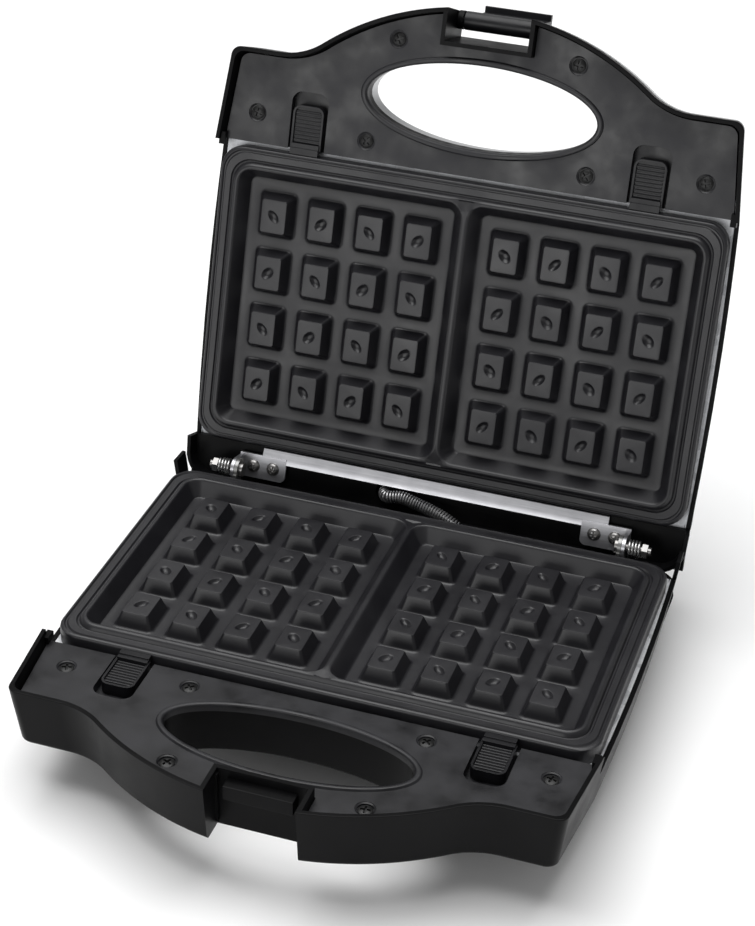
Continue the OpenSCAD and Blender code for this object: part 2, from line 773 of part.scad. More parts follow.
module base_button(side) color(black) as_base() translate([side * button_x, 0, 0]) release_button();
module base_button_left() base_button(-1);
module base_button_right() base_button(1);

// Return spring between a button's post and the cover's stop
module button_spring() {
    start = cover_rear + slot_start + post_l + 0.45;
    translate([0, -start, -spring_z]) rotate([90, 0, 0])
        coil(spring_r - 0.4, 0.3, 5, button_travel + 0.75);
}

module base_button_spring(side) color(bright_steel) as_base()
    translate([side * button_x, 0, 0]) button_spring();
module base_button_spring_left() base_button_spring(-1);
module base_button_spring_right() base_button_spring(1);

// Black band round the lid's opening, with the ledges that carry the hinge bar and the tray
module lid_frame() color(black) as_lid() {
    intersection() {
        difference() {
            drafted(0, rear_lid, handle_depth);
            translate([0, 0, eps]) drafted(wall, rear_lid, handle_depth + 5);
            notch(0, -1, 40);
            side_openings();
        }
        block(-far, far, -40, handle_front + 20, -1, band_depth - eps);
    }
    handle_lugs();
    difference() {
        block(-notch_w / 2 - wall, notch_w / 2 + wall, notch_back - wall, front_y - 1.5, 0,
            band_depth - eps);
        notch(0, -1, 40);
    }
    tray_ledge(rear_lid);
    difference() {
        union() {
            block(-bar_shelf, bar_shelf, -rear_lid + 1, bay_y, shelf_top, shelf_top + 2);
            at_bar_screws() translate([0, 0, -shelf_top + bar_face - 1])
                cylinder(r = 2.7, h = shelf_top - bar_face - steel_t + 0.98);
        }
        at_bar_screws() cylinder(r = screw_r + 0.05, h = 40, center = true);
        conduit_hole();
    }
    for (s = [0, 1]) mirror([s, 0, 0]) block(30, tab_inner - 4, -rear_lid, -8.4, -8, 6);
}

module conduit_hole() {
    translate([conduit_x, -conduit_d, 0]) cylinder(r = conduit_r + 1.4, h = 40, center = true);
}

// Outer skin of the lid, with the finger hole's sleeve and the latch pin's bosses
module lid_shell() color(silver) as_lid() {
    difference() {
        intersection() {
            housing(rear_lid, lid_depth);
            union() {
                block(-far, far, -40, handle_front + 20, band_depth, 80);
                grip_hole(cover_under, 40, grip_a + 0.01, grip_b + 0.01);
                at_screws() translate([0, 0, -30]) cylinder(r = 3.6, h = 30 - cover_under);
            }
        }
        at_latch() cylinder(r = latch_pin_r, h = notch_w + 2 * wall, center = true);
        for (x = [-lamp_x, lamp_x]) translate([x, -lamp_d, -lid_depth - 1])
            cylinder(r = lamp_r + 0.05, h = 6);
    }
    for (s = [-1, 1]) difference() {
        at_latch() translate([0, 0, s * (notch_w / 2 - 1.35)])
            cylinder(r = latch_barrel_r, h = 2.7, center = true);
        at_latch() cylinder(r = latch_pin_r, h = notch_w + 9, center = true);
    }
}

module lamp() {
    translate([0, -lamp_d, -lid_depth - 1]) {
        cylinder(r = lamp_r, h = 7);
        cylinder(r = lamp_r + 0.7, h = 0.95);
    }
}

module power_lamp() color("red") as_lid() translate([-lamp_x, 0, 0]) lamp();
module ready_lamp() color("green") as_lid() translate([lamp_x, 0, 0]) lamp();

module at_latch() {
    translate([0, -latch_y, -latch_z]) rotate([0, 90, 0]) children();
}

module lid_handle_cover() color(cover_black) as_lid() handle_cover();
module lid_cover_screws() color(black) as_lid() cover_screws();
module lid_reflector_tray() color(galvanised) as_lid() reflector_tray();
module lid_heating_element() color(galvanised) as_lid() difference() {
    heating_element();
    element_split();
}
module lid_element_clips() color(galvanised) as_lid() element_clips();
module upper_plate() color(nonstick) as_lid() waffle_plate();

module at_bar_screws() {
    for (s = [-1, 1], x = bar_screws) translate([s * x, -0.6, -bar_face]) children();
}

// Pressed bar across the rear of the lid, with a tab and a pierced ear at each end
module hinge_bar() color(bright_steel) as_lid() {
    difference() {
        union() {
            rotate([90, 0, 90]) linear_extrude(2 * bar_hw, center = true)
                polygon([[-3.5, -bar_face], [-9.2, -bar_face - 1.4], [-9.2, -bar_face - steel_t - 1.2],
                    [-3.5, -bar_face - steel_t]]);
            for (s = [0, 1]) mirror([s, 0, 0]) {
                block(tab_inner, ear_x + steel_t, -5, 6, bar_face, bar_face + steel_t);
                block(ear_x, ear_x + steel_t, -ear_r, ear_r, -axis_z, bar_face + steel_t);
                translate([ear_x, 0, axis_z]) rotate([0, 90, 0]) cylinder(r = ear_r, h = steel_t);
            }
        }
        at_bar_screws() cylinder(r = screw_r + 0.2, h = 20, center = true);
        translate([0, 0, axis_z]) rotate([0, 90, 0])
            cylinder(r = pin_r + pin_gap, h = 2 * ear_x + 20, center = true);
    }
}

module hinge_bar_screws() color(bright_steel) as_lid() at_bar_screws() {
    translate([0, 0, 0.02]) cylinder(r1 = 3, r2 = 2.2, h = 1.7);
    translate([0, 0, -9]) cylinder(r = screw_r, h = 9.1);
}

module lead_conduit() color(bright_steel) as_base() tube(conduit_route, conduit_r);

module lid_button(side) color(black) as_lid() translate([side * button_x, 0, 0]) release_button();
module lid_button_left() lid_button(-1);
module lid_button_right() lid_button(1);
module lid_button_spring(side) color(bright_steel) as_lid()
    translate([side * button_x, 0, 0]) button_spring();
module lid_button_spring_left() lid_button_spring(-1);
module lid_button_spring_right() lid_button_spring(1);

module latch_pin() color(bright_steel) as_lid() at_latch()
    cylinder(r = latch_pin_r, h = notch_w + 2 * wall - 0.4, center = true);

// Clasp that flips over the base's notch and hooks under its ledge
module latch_clasp() color(black) as_lid() {
    difference() {
        union() {
            at_latch() cylinder(r = latch_barrel_r, h = 2 * latch_hw, center = true);
            block(-latch_hw, latch_hw, latch_y - latch_t / 2, latch_y + latch_t / 2, latch_z,
                latch_z + latch_reach);
            block(-latch_hw, latch_hw, latch_y - latch_t / 2, latch_y + lip_rise,
                latch_z + latch_reach - lip_t, latch_z + latch_reach);
        }
        at_latch() cylinder(r = latch_pin_r + 0.05, h = 2 * latch_hw + 2, center = true);
    }
}

base_shell();
base_handle_cover();
base_cover_screws();
base_reflector_tray();
base_heating_element();
base_element_clips();
lower_plate();
hinge_brackets();
hinge_bracket_screws();
hinge_pins();
hinge_spring_left();
hinge_spring_right();
hinge_pin_nuts();
rubber_feet();
foot_screws();
thermostat();
thermal_fuse();
terminal_block();
cord_bush();
supply_leads();
base_button_left();
base_button_right();
base_button_spring_left();
base_button_spring_right();
lid_frame();
lid_shell();
lid_handle_cover();
lid_cover_screws();
lid_reflector_tray();
lid_heating_element();
lid_element_clips();
upper_plate();
hinge_bar();
hinge_bar_screws();
lead_conduit();
power_lamp();
ready_lamp();
lid_button_left();
lid_button_right();
lid_button_spring_left();
lid_button_spring_right();
latch_pin();
latch_clasp();
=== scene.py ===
"""The looks of an open two-slice waffle maker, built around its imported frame.

Each half is modelled in its own millimetres: x runs along the hinge, y is minus the
distance from the hinge axis, z is minus the depth below the parting plane. Half.place
turns that into the frame's metres, so the lid is the base's mirrored twin.
"""
from __future__ import annotations

import json
import logging
import math
from dataclasses import dataclass, field
from enum import Enum
from typing import Iterable, Sequence

import bmesh
import bpy
from mathutils import Matrix, Vector


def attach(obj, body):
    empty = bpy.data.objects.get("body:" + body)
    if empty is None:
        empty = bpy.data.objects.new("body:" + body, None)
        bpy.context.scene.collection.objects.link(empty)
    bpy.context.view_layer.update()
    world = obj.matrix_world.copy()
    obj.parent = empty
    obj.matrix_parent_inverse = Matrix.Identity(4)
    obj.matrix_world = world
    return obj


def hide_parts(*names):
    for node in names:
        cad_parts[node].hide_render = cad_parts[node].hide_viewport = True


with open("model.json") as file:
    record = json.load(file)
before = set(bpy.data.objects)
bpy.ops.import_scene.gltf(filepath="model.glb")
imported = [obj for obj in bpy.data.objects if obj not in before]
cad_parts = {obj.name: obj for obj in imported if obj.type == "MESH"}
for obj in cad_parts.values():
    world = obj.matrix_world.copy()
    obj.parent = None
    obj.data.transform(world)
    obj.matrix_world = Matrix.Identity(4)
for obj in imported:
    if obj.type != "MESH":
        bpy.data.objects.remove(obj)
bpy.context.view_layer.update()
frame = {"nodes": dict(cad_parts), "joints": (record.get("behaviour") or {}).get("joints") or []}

logging.basicConfig(level=logging.INFO, format="%(message)s")
log = logging.getLogger("waffle_maker")

Point = tuple[float, float, float]
Flat = tuple[float, float]
Colour = tuple[float, float, float]
MM = 0.001
FAR = 220.0
SIDE_REACH = 200.0


def joint(name: str) -> dict:
    """The frame's joint of that name.

    Args:
        name: a joint's name in the record.

    Returns:
        The joint's entry, with its position, axis and range.
    """
    return next(j for j in frame["joints"] if j["name"] == name)


@dataclass(frozen=True)
class Sizes:
    """Driving sizes of the waffle maker, in millimetres."""

    plate_w: float = 225.0
    plate_l: float = 133.0
    plate_rear: float = 10.5
    cell_depth: float = 7.5
    peg_count: int = 4
    peg_gap: float = 5.6
    peg_draft: float = 2.4
    wall: float = 1.8
    side_gap: float = 3.1
    side_bow: float = 1.9
    handle_depth: float = 27.0
    taper: float = 0.97
    taper_mid: float = 100.0
    handle_l: float = 73.2
    shoulder_l: float = 43.0
    shoulder_in: float = 5.4
    shoulder_r: float = 4.5
    handle_r: float = 118.0
    fillet_r: float = 31.0
    rear_r: float = 12.0
    grip_a: float = 52.8
    grip_b: float = 20.2
    grip_t: float = 2.4
    cover_drop: float = 5.3
    cover_t: float = 2.4
    notch_w: float = 36.0
    notch_l: float = 15.4
    band_depth: float = 12.0
    button_w: float = 14.0
    button_l: float = 22.5
    button_gap: float = 1.3
    button_travel: float = 4.5
    button_inset: float = 42.0
    foot_h: float = 5.0
    gap: float = 0.2
    tray_top: float = 9.5
    lug_in: float = 1.5
    lug_w: float = 2.6

    @property
    def plate_front(self) -> float:
        """Distance of the plates' front edge from the hinge axis."""
        return self.plate_rear + self.plate_l

    @property
    def plate_mid(self) -> float:
        """Distance of the plates' middle from the hinge axis."""
        return self.plate_rear + self.plate_l / 2

    @property
    def body_hw(self) -> float:
        """Half width of the housing at its widest."""
        return self.plate_w / 2 + self.side_gap + self.wall

    @property
    def handle_front(self) -> float:
        """Distance of the handle's foremost point."""
        return self.plate_front + self.handle_l

    @property
    def cover_rear(self) -> float:
        """Distance of the inner cover's rear edge."""
        return self.plate_front + 1.9

    @property
    def cover_under(self) -> float:
        """Depth of the inner cover's underside."""
        return self.cover_drop + self.cover_t

    @property
    def grip_mid(self) -> float:
        """Distance of the finger hole's centre."""
        return self.plate_front + 31.3

    @property
    def notch_back(self) -> float:
        """Distance of the latch notch's back wall."""
        return self.handle_front - self.notch_l

    @property
    def button_x(self) -> float:
        """Distance of a release button from the middle."""
        return self.body_hw - self.button_inset

    @property
    def button_rear(self) -> float:
        """Distance of the button tongue's rear end, over the plate's edge."""
        return self.plate_front - 1.2

    @property
    def side_drop(self) -> float:
        """Depth of the side walls' rim beside the plates."""
        return self.tray_top - self.gap

    @property
    def screw_spots(self) -> list[Flat]:
        """Places of the cover's screws on the right side, as x and distance."""
        return [(self.body_hw - 18.4, self.plate_front + 15.0), (39.2, self.plate_front + 55.15),
                (48.6, self.plate_front + 10.15)]


S = Sizes()
LID_HINGE = joint("lid_hinge")
HINGE = Vector(LID_HINGE["pos_m"])
OPEN_ANGLE = math.radians(LID_HINGE["range_deg"][1])
HINGE_DROP = 4.26
BASE_DEPTH = 45.0
LID_DEPTH = 45.0
REAR = {"base": 14.0, "lid": 10.0}
LEAD_X = -22.0
LATCH_BACK = 7.7
LATCH_DEPTH = 20.0


class Half(Enum):
    """The two halves of the waffle maker."""

    BASE = "base"
    LID = "lid"

    def place(self) -> Matrix:
        """The move from this half's millimetres to the frame's metres.

        Returns:
            A matrix that also mirrors for the lid.
        """
        if self is Half.BASE:
            return Matrix.Translation(HINGE + Vector((0, 0, HINGE_DROP * MM))) @ Matrix.Scale(MM, 4)
        return (Matrix.Translation(HINGE) @ Matrix.Rotation(-OPEN_ANGLE, 4, "X")
                @ Matrix.Translation((0, 0, HINGE_DROP * MM)) @ Matrix.Diagonal((MM, MM, -MM, 1)))


# ---------------------------------------------------------------- outlines

def arc(cx: float, cy: float, r: float, start: float, end: float, steps: int) -> list[Flat]:
    """Points of an arc.

    Args:
        cx, cy: the centre.
        r: the radius.
        start, end: the angles in degrees.
        steps: how many equal steps the arc takes.

    Returns:
        steps + 1 points.
    """
    angles = [math.radians(start + (end - start) * i / steps) for i in range(steps + 1)]
    return [(cx + r * math.cos(a), cy + r * math.sin(a)) for a in angles]


def mirrored(points: Sequence[Flat]) -> list[Flat]:
    """The points reflected left to right, in reverse order."""
    return [(-x, y) for x, y in reversed(points)]


def side_x(d: float) -> float:
    """Half width of the bowed side at a distance d from the hinge."""
    return S.body_hw - S.side_bow * ((d - S.plate_mid) / S.plate_mid) ** 2


def outline(inset: float, rear: float) -> list[Flat]:
    """The housing's closed outline.

    Args:
        inset: how far inside the outer wall it runs.
        rear: how far the housing reaches behind the hinge axis.

    Returns:
        Points in the half's x and y, starting at the rear.
    """
    shoulder_front = S.plate_front + S.shoulder_l
    arc_mid = S.handle_front - S.handle_r
    fillet_mid = shoulder_front + S.fillet_r
    fillet_x = math.sqrt((S.handle_r + S.fillet_r) ** 2 - (fillet_mid - arc_mid) ** 2)
    turn = math.degrees(math.atan2(fillet_mid - arc_mid, fillet_x))
    mouth = math.degrees(math.asin(S.notch_w / 2 / S.handle_r))
    rc = S.rear_r - inset
    edge = S.body_hw - S.shoulder_in - inset
    corner_y = shoulder_front - inset - S.shoulder_r
    side = arc(side_x(0) - inset - rc, rear - inset - rc, rc, 90, 0, 8)
    side += [(side_x(S.plate_front * i / 16) - inset, -S.plate_front * i / 16) for i in range(17)]
    side += arc(edge - S.shoulder_r, -corner_y, S.shoulder_r, 0, -90, 8)
    side += [(x, -y) for x, y in arc(fillet_x, fillet_mid, S.fillet_r + inset, 270, 180 + turn, 20)]
    side += [(x, -y) for x, y in arc(0, arc_mid, S.handle_r - inset, turn, 90 - mouth, 30)]
    return side + mirrored(side)


def drafted(inset: float, rear: float, depth: float) -> list[Point]:
    """The outline at a depth, drawn in by the walls' draft."""
    shrink = 1 - (1 - S.taper) * (depth - S.gap) / (S.handle_depth - S.gap)
    return [(x * shrink, -S.taper_mid + (y + S.taper_mid) * shrink, -depth) for x, y in outline(inset, rear)]


def rounded_rect(w: float, l: float, r: float, steps: int = 8) -> list[Flat]:
    """A rectangle with round corners, centred on the origin.

    Args:
        w, l: its width and length.
        r: the corner radius.
        steps: steps of each corner.

    Returns:
        Its points, anticlockwise.
    """
    out: list[Flat] = []
    for i, (sx, sy) in enumerate([(1, 1), (-1, 1), (-1, -1), (1, -1)]):
        out += arc(sx * (w / 2 - r), sy * (l / 2 - r), r, 90 * i, 90 * i + 90, steps)
    return out


def ellipse(a: float, b: float, steps: int = 112) -> list[Flat]:
    """Points round an ellipse, centred on the origin."""
    return [(a * math.cos(math.tau * i / steps), b * math.sin(math.tau * i / steps)) for i in range(steps)]


def at(points: Iterable[Flat], x: float = 0.0, y: float = 0.0) -> list[Flat]:
    """The points moved by x and y."""
    return [(px + x, py + y) for px, py in points]


def level(points: Iterable[Flat], depth: float) -> list[Point]:
    """The points laid at a depth below the parting plane."""
    return [(x, y, -depth) for x, y in points]


# ---------------------------------------------------------------- solids

def quarter(axis: str, sign: int = 1) -> Matrix:
    """A quarter turn about an axis, backwards when sign is -1."""
    return Matrix.Rotation(math.radians(sign * 90), 4, axis)


def bridge(bm: bmesh.types.BMesh, low: Sequence, high: Sequence) -> None:
    """Closes the band between two rings of as many vertices with quads.

    Args:
        bm: the bmesh that the rings are in.
        low, high: the rings.
    """
    for i in range(len(low)):
        j = (i + 1) % len(low)
        bm.faces.new((low[i], low[j], high[j], high[i]))


def span(s: int, near: float, far: float) -> Flat:
    """The range in x between two distances from the middle, on side s."""
    return (min(s * near, s * far), max(s * near, s * far))


class Solid:
    """A closed mesh in a half's own millimetres that can be joined and cut."""

    def __init__(self, mesh: bpy.types.Mesh) -> None:
        """Keeps the mesh."""
        self.mesh = mesh

    @classmethod
    def wrap(cls, bm: bmesh.types.BMesh, merge: float = 0.0) -> "Solid":
        """Turns a bmesh into a solid.

        Args:
            bm: the bmesh, which is freed.
            merge: points closer than this are joined.

        Returns:
            The solid, with its normals outwards.
        """
        if merge:
            bmesh.ops.remove_doubles(bm, verts=bm.verts, dist=merge)
        bmesh.ops.recalc_face_normals(bm, faces=bm.faces)
        mesh = bpy.data.meshes.new("solid")
        bm.to_mesh(mesh)
        bm.free()
        return cls(mesh)

    @classmethod
    def loft(cls, levels: Sequence[Sequence[Point]]) -> "Solid":
        """A solid through closed rings that all have as many points, capped at both ends.

        Args:
            levels: the rings, from one end to the other.

        Returns:
            The solid.
        """
        bm = bmesh.new()
        rings = [[bm.verts.new(p) for p in ring] for ring in levels]
        for low, high in zip(rings, rings[1:]):
            bridge(bm, low, high)
        bm.faces.new(list(reversed(rings[0])))
        bm.faces.new(rings[-1])
        return cls.wrap(bm)

    @classmethod
    def prism(cls, points: Sequence[Flat], top: float, bottom: float) -> "Solid":
        """A straight solid over a flat outline, between two depths."""
        return cls.loft([level(points, top), level(points, bottom)])

    @classmethod
    def block(cls, x0: float, x1: float, d0: float, d1: float, top: float, bottom: float) -> "Solid":
        """A box given by its ranges in x, in distance from the hinge and in depth."""
        return cls.prism([(x0, -d0), (x0, -d1), (x1, -d1), (x1, -d0)], top, bottom)

    @classmethod
    def lathe(cls, profile: Sequence[Flat], steps: int = 40) -> "Solid":
        """A solid turned about the z axis.

        Args:
            profile: radius and height of each ring; an end with radius 0 closes in a point.
            steps: facets round the axis.

        Returns:
            The turned solid.
        """
        bm = bmesh.new()
        rings = []
        for r, z in profile:
            if r == 0:
                rings.append([bm.verts.new((0, 0, z))])
            else:
                rings.append([bm.verts.new((x, y, z)) for x, y in ellipse(r, r, steps)])
        closed = len(rings[0]) > 1 and len(rings[-1]) > 1
        for low, high in zip(rings, rings[1:] + (rings[:1] if closed else [])):
            if low is high or len(low) == len(high) == 1:
                continue
            for i in range(steps):
                j = (i + 1) % steps
                if len(low) == 1:
                    bm.faces.new((low[0], high[i], high[j]))
                elif len(high) == 1:
                    bm.faces.new((low[i], high[0], low[j]))
                else:
                    bm.faces.new((low[i], low[j], high[j], high[i]))
        return cls.wrap(bm)

    @classmethod
    def rod(cls, r: float, low: float, high: float, steps: int = 40) -> "Solid":
        """A cylinder along the z axis, between two heights."""
        return cls.lathe([(0, low), (r, low), (r, high), (0, high)], steps)

    @classmethod
    def cross(cls, arm: float, half_w: float, top: float, bottom: float) -> "Solid":
        """A screw's cross recess: two crossed bars, between two depths."""
        return (cls.block(-arm, arm, -half_w, half_w, top, bottom)
                | cls.block(-half_w, half_w, -arm, arm, top, bottom))

    @classmethod
    def tube(cls, path: Sequence[Point], r: float, sides: int = 8) -> "Solid":
        """A round tube along a path, with its rings carried along without twist.

        Args:
            path: the middle line.
            r: the tube's radius.
            sides: facets round it.

        Returns:
            The tube, closed at both ends.
        """
        points = [Vector(p) for p in path]
        bm = bmesh.new()
        rings = []
        side = Vector()
        for i, p in enumerate(points):
            along = (points[min(i + 1, len(points) - 1)] - points[max(i - 1, 0)]).normalized()
            side = side - along * side.dot(along) if i else along.orthogonal()
            side.normalize()
            up = along.cross(side)
            turns = [math.tau * k / sides for k in range(sides)]
            rings.append([bm.verts.new(p + r * (math.cos(t) * side + math.sin(t) * up)) for t in turns])
        for low, high in zip(rings, rings[1:]):
            bridge(bm, low, high)
        bm.faces.new(list(reversed(rings[0])))
        bm.faces.new(rings[-1])
        return cls.wrap(bm)

    @classmethod
    def gather(cls, parts: Iterable["Solid"]) -> "Solid":
        """Solids that don't touch, put in one mesh.

        Args:
            parts: the solids.

        Returns:
            One solid that holds them all.
        """
        bm = bmesh.new()
        for part in parts:
            bm.from_mesh(part.mesh)
        return cls.wrap(bm)

    def moved(self, matrix: Matrix) -> "Solid":
        """A copy of the solid, moved by the matrix.

        Args:
            matrix: the move, which may mirror.

        Returns:
            The moved copy, with its normals outwards.
        """
        mesh = self.mesh.copy()
        mesh.transform(matrix)
        if matrix.determinant() < 0:
            mesh.flip_normals()
        return Solid(mesh)

    def shifted(self, x: float = 0.0, y: float = 0.0, z: float = 0.0) -> "Solid":
        """A copy of the solid, moved along the axes."""
        return self.moved(Matrix.Translation((x, y, z)))

    def with_modifier(self, kind: str, settings: dict) -> "Solid":
        """The solid with one of Blender's modifiers applied.

        Args:
            kind: the modifier's type.
            settings: its properties and their values.

        Returns:
            A new solid.
        """
        holder = bpy.data.objects.new("holder", self.mesh)
        bpy.context.scene.collection.objects.link(holder)
        modifier = holder.modifiers.new("step", kind)
        for key, value in settings.items():
            setattr(modifier, key, value)
        shape = holder.evaluated_get(bpy.context.evaluated_depsgraph_get())
        mesh = bpy.data.meshes.new_from_object(shape)
        bpy.data.objects.remove(holder)
        return Solid(mesh)

    def combined(self, other: "Solid", how: str) -> "Solid":
        """This solid and another, joined, cut or intersected.

        Args:
            other: the other solid.
            how: UNION, DIFFERENCE or INTERSECT.

        Returns:
            A new solid.
        """
        tool = bpy.data.objects.new("tool", other.mesh)
        bpy.context.scene.collection.objects.link(tool)
        result = self.with_modifier("BOOLEAN", {"operation": how, "object": tool, "solver": "EXACT"})
        bpy.data.objects.remove(tool)
        return result

    def __or__(self, other: "Solid") -> "Solid":
        """Both solids joined."""
        return self.combined(other, "UNION")

    def __sub__(self, other: "Solid") -> "Solid":
        """This solid with the other cut out of it."""
        return self.combined(other, "DIFFERENCE")

    def __and__(self, other: "Solid") -> "Solid":
        """What the two solids share."""
        return self.combined(other, "INTERSECT")

    def softened(self, width: float, segments: int = 2, angle: float = 35.0) -> "Solid":
        """The solid with its sharp edges rounded.

        Args:
            width: the width of the rounding.
            segments: its steps.
            angle: edges sharper than this many degrees are rounded.

        Returns:
            A new solid.
        """
        bm = bmesh.new()
        bm.from_mesh(self.mesh)
        bmesh.ops.remove_doubles(bm, verts=bm.verts, dist=0.004)
        bmesh.ops.dissolve_limit(bm, angle_limit=math.radians(0.6), verts=bm.verts, edges=bm.edges)
        clean = Solid.wrap(bm)
        return clean.with_modifier("BEVEL", {
            "width": width, "segments": segments, "limit_method": "ANGLE", "use_clamp_overlap": True,
            "angle_limit": math.radians(angle), "miter_outer": "MITER_ARC"})


# ---------------------------------------------------------------- finishes

class Surface(Enum):
    """How a finish's colour and relief vary."""

    MOULDED = "moulded"
    BRUSHED = "brushed"
    SPANGLED = "spangled"
    WOVEN = "woven"
    LENS = "lens"


@dataclass(frozen=True)
class Finish:
    """A procedural finish, with its sizes in millimetres.

    The colour drifts between colour and second over patches of patch_mm, the roughness
    drifts by rough_drift, and grain_mm and grain_depth give the fine relief.
    """

    slot: str
    colour: Colour
    second: Colour
    rough: float
    metal: float = 0.0
    rough_drift: float = 0.06
    patch_mm: float = 14.0
    grain_mm: float = 0.5
    grain_depth: float = 0.03
    coat: float = 0.0
    surface: Surface = Surface.MOULDED
    gloss: float = 0.5

    def material(self) -> bpy.types.Material:
        """The Blender material of this finish, made once.

        Returns:
            The material, named after the slot.
        """
        known = bpy.data.materials.get(f"{self.slot}_finish")
        if known:
            return known
        material = bpy.data.materials.new(f"{self.slot}_finish")
        material.use_nodes = True
        tree = material.node_tree
        shader = tree.nodes["Principled BSDF"]
        shader.inputs["Metallic"].default_value = self.metal
        shader.inputs["Specular IOR Level"].default_value = self.gloss
        shader.inputs["Coat Weight"].default_value = self.coat
        shader.inputs["Coat Roughness"].default_value = 0.12
        if self.surface is Surface.LENS:
            shader.inputs["Transmission Weight"].default_value = 0.55
            shader.inputs["IOR"].default_value = 1.49
        place = tree.nodes.new("ShaderNodeTexCoord").outputs["Object"]
        grain_place = self.stretched(tree, place) if self.surface is Surface.BRUSHED else place
        patches = self.patches(tree, place)
        fine = self.noise(tree, grain_place, self.grain_mm, 4.0)
        self.paint(tree, shader, patches, fine)
        self.relief(tree, shader, place, fine)
        return material

    def noise(self, tree: bpy.types.NodeTree, place: bpy.types.NodeSocket, size_mm: float,
              detail: float) -> bpy.types.NodeSocket:
        """A noise with features of a size.

        Args:
            tree: the material's nodes.
            place: where the noise is read.
            size_mm: the features' size.
            detail: octaves of finer noise.

        Returns:
            The noise's value, about 0.5 on average.
        """
        node = tree.nodes.new("ShaderNodeTexNoise")
        node.inputs["Scale"].default_value = 1 / (size_mm * MM)
        node.inputs["Detail"].default_value = detail
        node.inputs["Roughness"].default_value = 0.55
        tree.links.new(place, node.inputs["Vector"])
        return node.outputs["Fac"]

    def stretched(self, tree: bpy.types.NodeTree, place: bpy.types.NodeSocket) -> bpy.types.NodeSocket:
        """The place squeezed along x, so that a grain read there runs along x.

        Args:
            tree: the material's nodes.
            place: the place.

        Returns:
            The squeezed place.
        """
        node = tree.nodes.new("ShaderNodeMapping")
        node.inputs["Scale"].default_value = (0.03, 1.0, 1.0)
        tree.links.new(place, node.inputs["Vector"])
        return node.outputs["Vector"]

    def patches(self, tree: bpy.types.NodeTree, place: bpy.types.NodeSocket) -> bpy.types.NodeSocket:
        """The slow drift of the colour: crystals of zinc, or soft clouds.

        Args:
            tree: the material's nodes.
            place: where the texture is read.

        Returns:
            The drift, from 0 to 1.
        """
        if self.surface is not Surface.SPANGLED:
            return self.noise(tree, place, self.patch_mm, 3.0)
        node = tree.nodes.new("ShaderNodeTexVoronoi")
        node.inputs["Scale"].default_value = 1 / (self.patch_mm * MM)
        tree.links.new(place, node.inputs["Vector"])
        split = tree.nodes.new("ShaderNodeSeparateColor")
        tree.links.new(node.outputs["Color"], split.inputs["Color"])
        return split.outputs["Red"]

    def ranged(self, tree: bpy.types.NodeTree, value: bpy.types.NodeSocket, source: Flat,
               target: Flat) -> bpy.types.NodeSocket:
        """The value with one range of it stretched onto another.

        Args:
            tree: the material's nodes.
            value: the value.
            source: the range that is taken.
            target: the range that it becomes.

        Returns:
            The new value.
        """
        node = tree.nodes.new("ShaderNodeMapRange")
        for name, number in zip(("From Min", "From Max", "To Min", "To Max"), (*source, *target)):
            node.inputs[name].default_value = number
        tree.links.new(value, node.inputs["Value"])
        return node.outputs["Result"]

    def paint(self, tree: bpy.types.NodeTree, shader: bpy.types.Node, patches: bpy.types.NodeSocket,
              fine: bpy.types.NodeSocket) -> None:
        """Sets the shader's colour and roughness from the patches and the fine grain.

        Args:
            tree: the material's nodes.
            shader: the shader.
            patches: the slow drift.
            fine: the fine grain.
        """
        share = self.ranged(tree, patches, (0.32, 0.68), (0.0, 1.0))
        mix = tree.nodes.new("ShaderNodeMix")
        mix.data_type = "RGBA"
        mix.inputs["A"].default_value = (*self.colour, 1)
        mix.inputs["B"].default_value = (*self.second, 1)
        tree.links.new(share, mix.inputs["Factor"])
        tint = tree.nodes.new("ShaderNodeVectorMath")
        tint.operation = "SCALE"
        tree.links.new(mix.outputs["Result"], tint.inputs[0])
        tree.links.new(self.ranged(tree, fine, (0.0, 1.0), (0.82, 1.18)), tint.inputs["Scale"])
        tree.links.new(tint.outputs["Vector"], shader.inputs["Base Color"])
        drift = fine if self.surface is Surface.BRUSHED else patches
        limits = (self.rough - self.rough_drift, self.rough + self.rough_drift)
        tree.links.new(self.ranged(tree, drift, (0.3, 0.7), limits), shader.inputs["Roughness"])

    def relief(self, tree: bpy.types.NodeTree, shader: bpy.types.Node, place: bpy.types.NodeSocket,
               fine: bpy.types.NodeSocket) -> None:
        """Sets the shader's normal from the grain, or from a weave.

        Args:
            tree: the material's nodes.
            shader: the shader.
            place: where the textures are read.
            fine: the fine grain.
        """
        height = fine
        if self.surface is Surface.WOVEN:
            wave = tree.nodes.new("ShaderNodeTexWave")
            wave.bands_direction = "DIAGONAL"
            wave.inputs["Scale"].default_value = 0.3 / (self.grain_mm * MM)
            tree.links.new(place, wave.inputs["Vector"])
            height = wave.outputs["Fac"]
        bump = tree.nodes.new("ShaderNodeBump")
        bump.inputs["Strength"].default_value = 0.6
        bump.inputs["Distance"].default_value = self.grain_depth * MM
        tree.links.new(height, bump.inputs["Height"])
        tree.links.new(bump.outputs["Normal"], shader.inputs["Normal"])


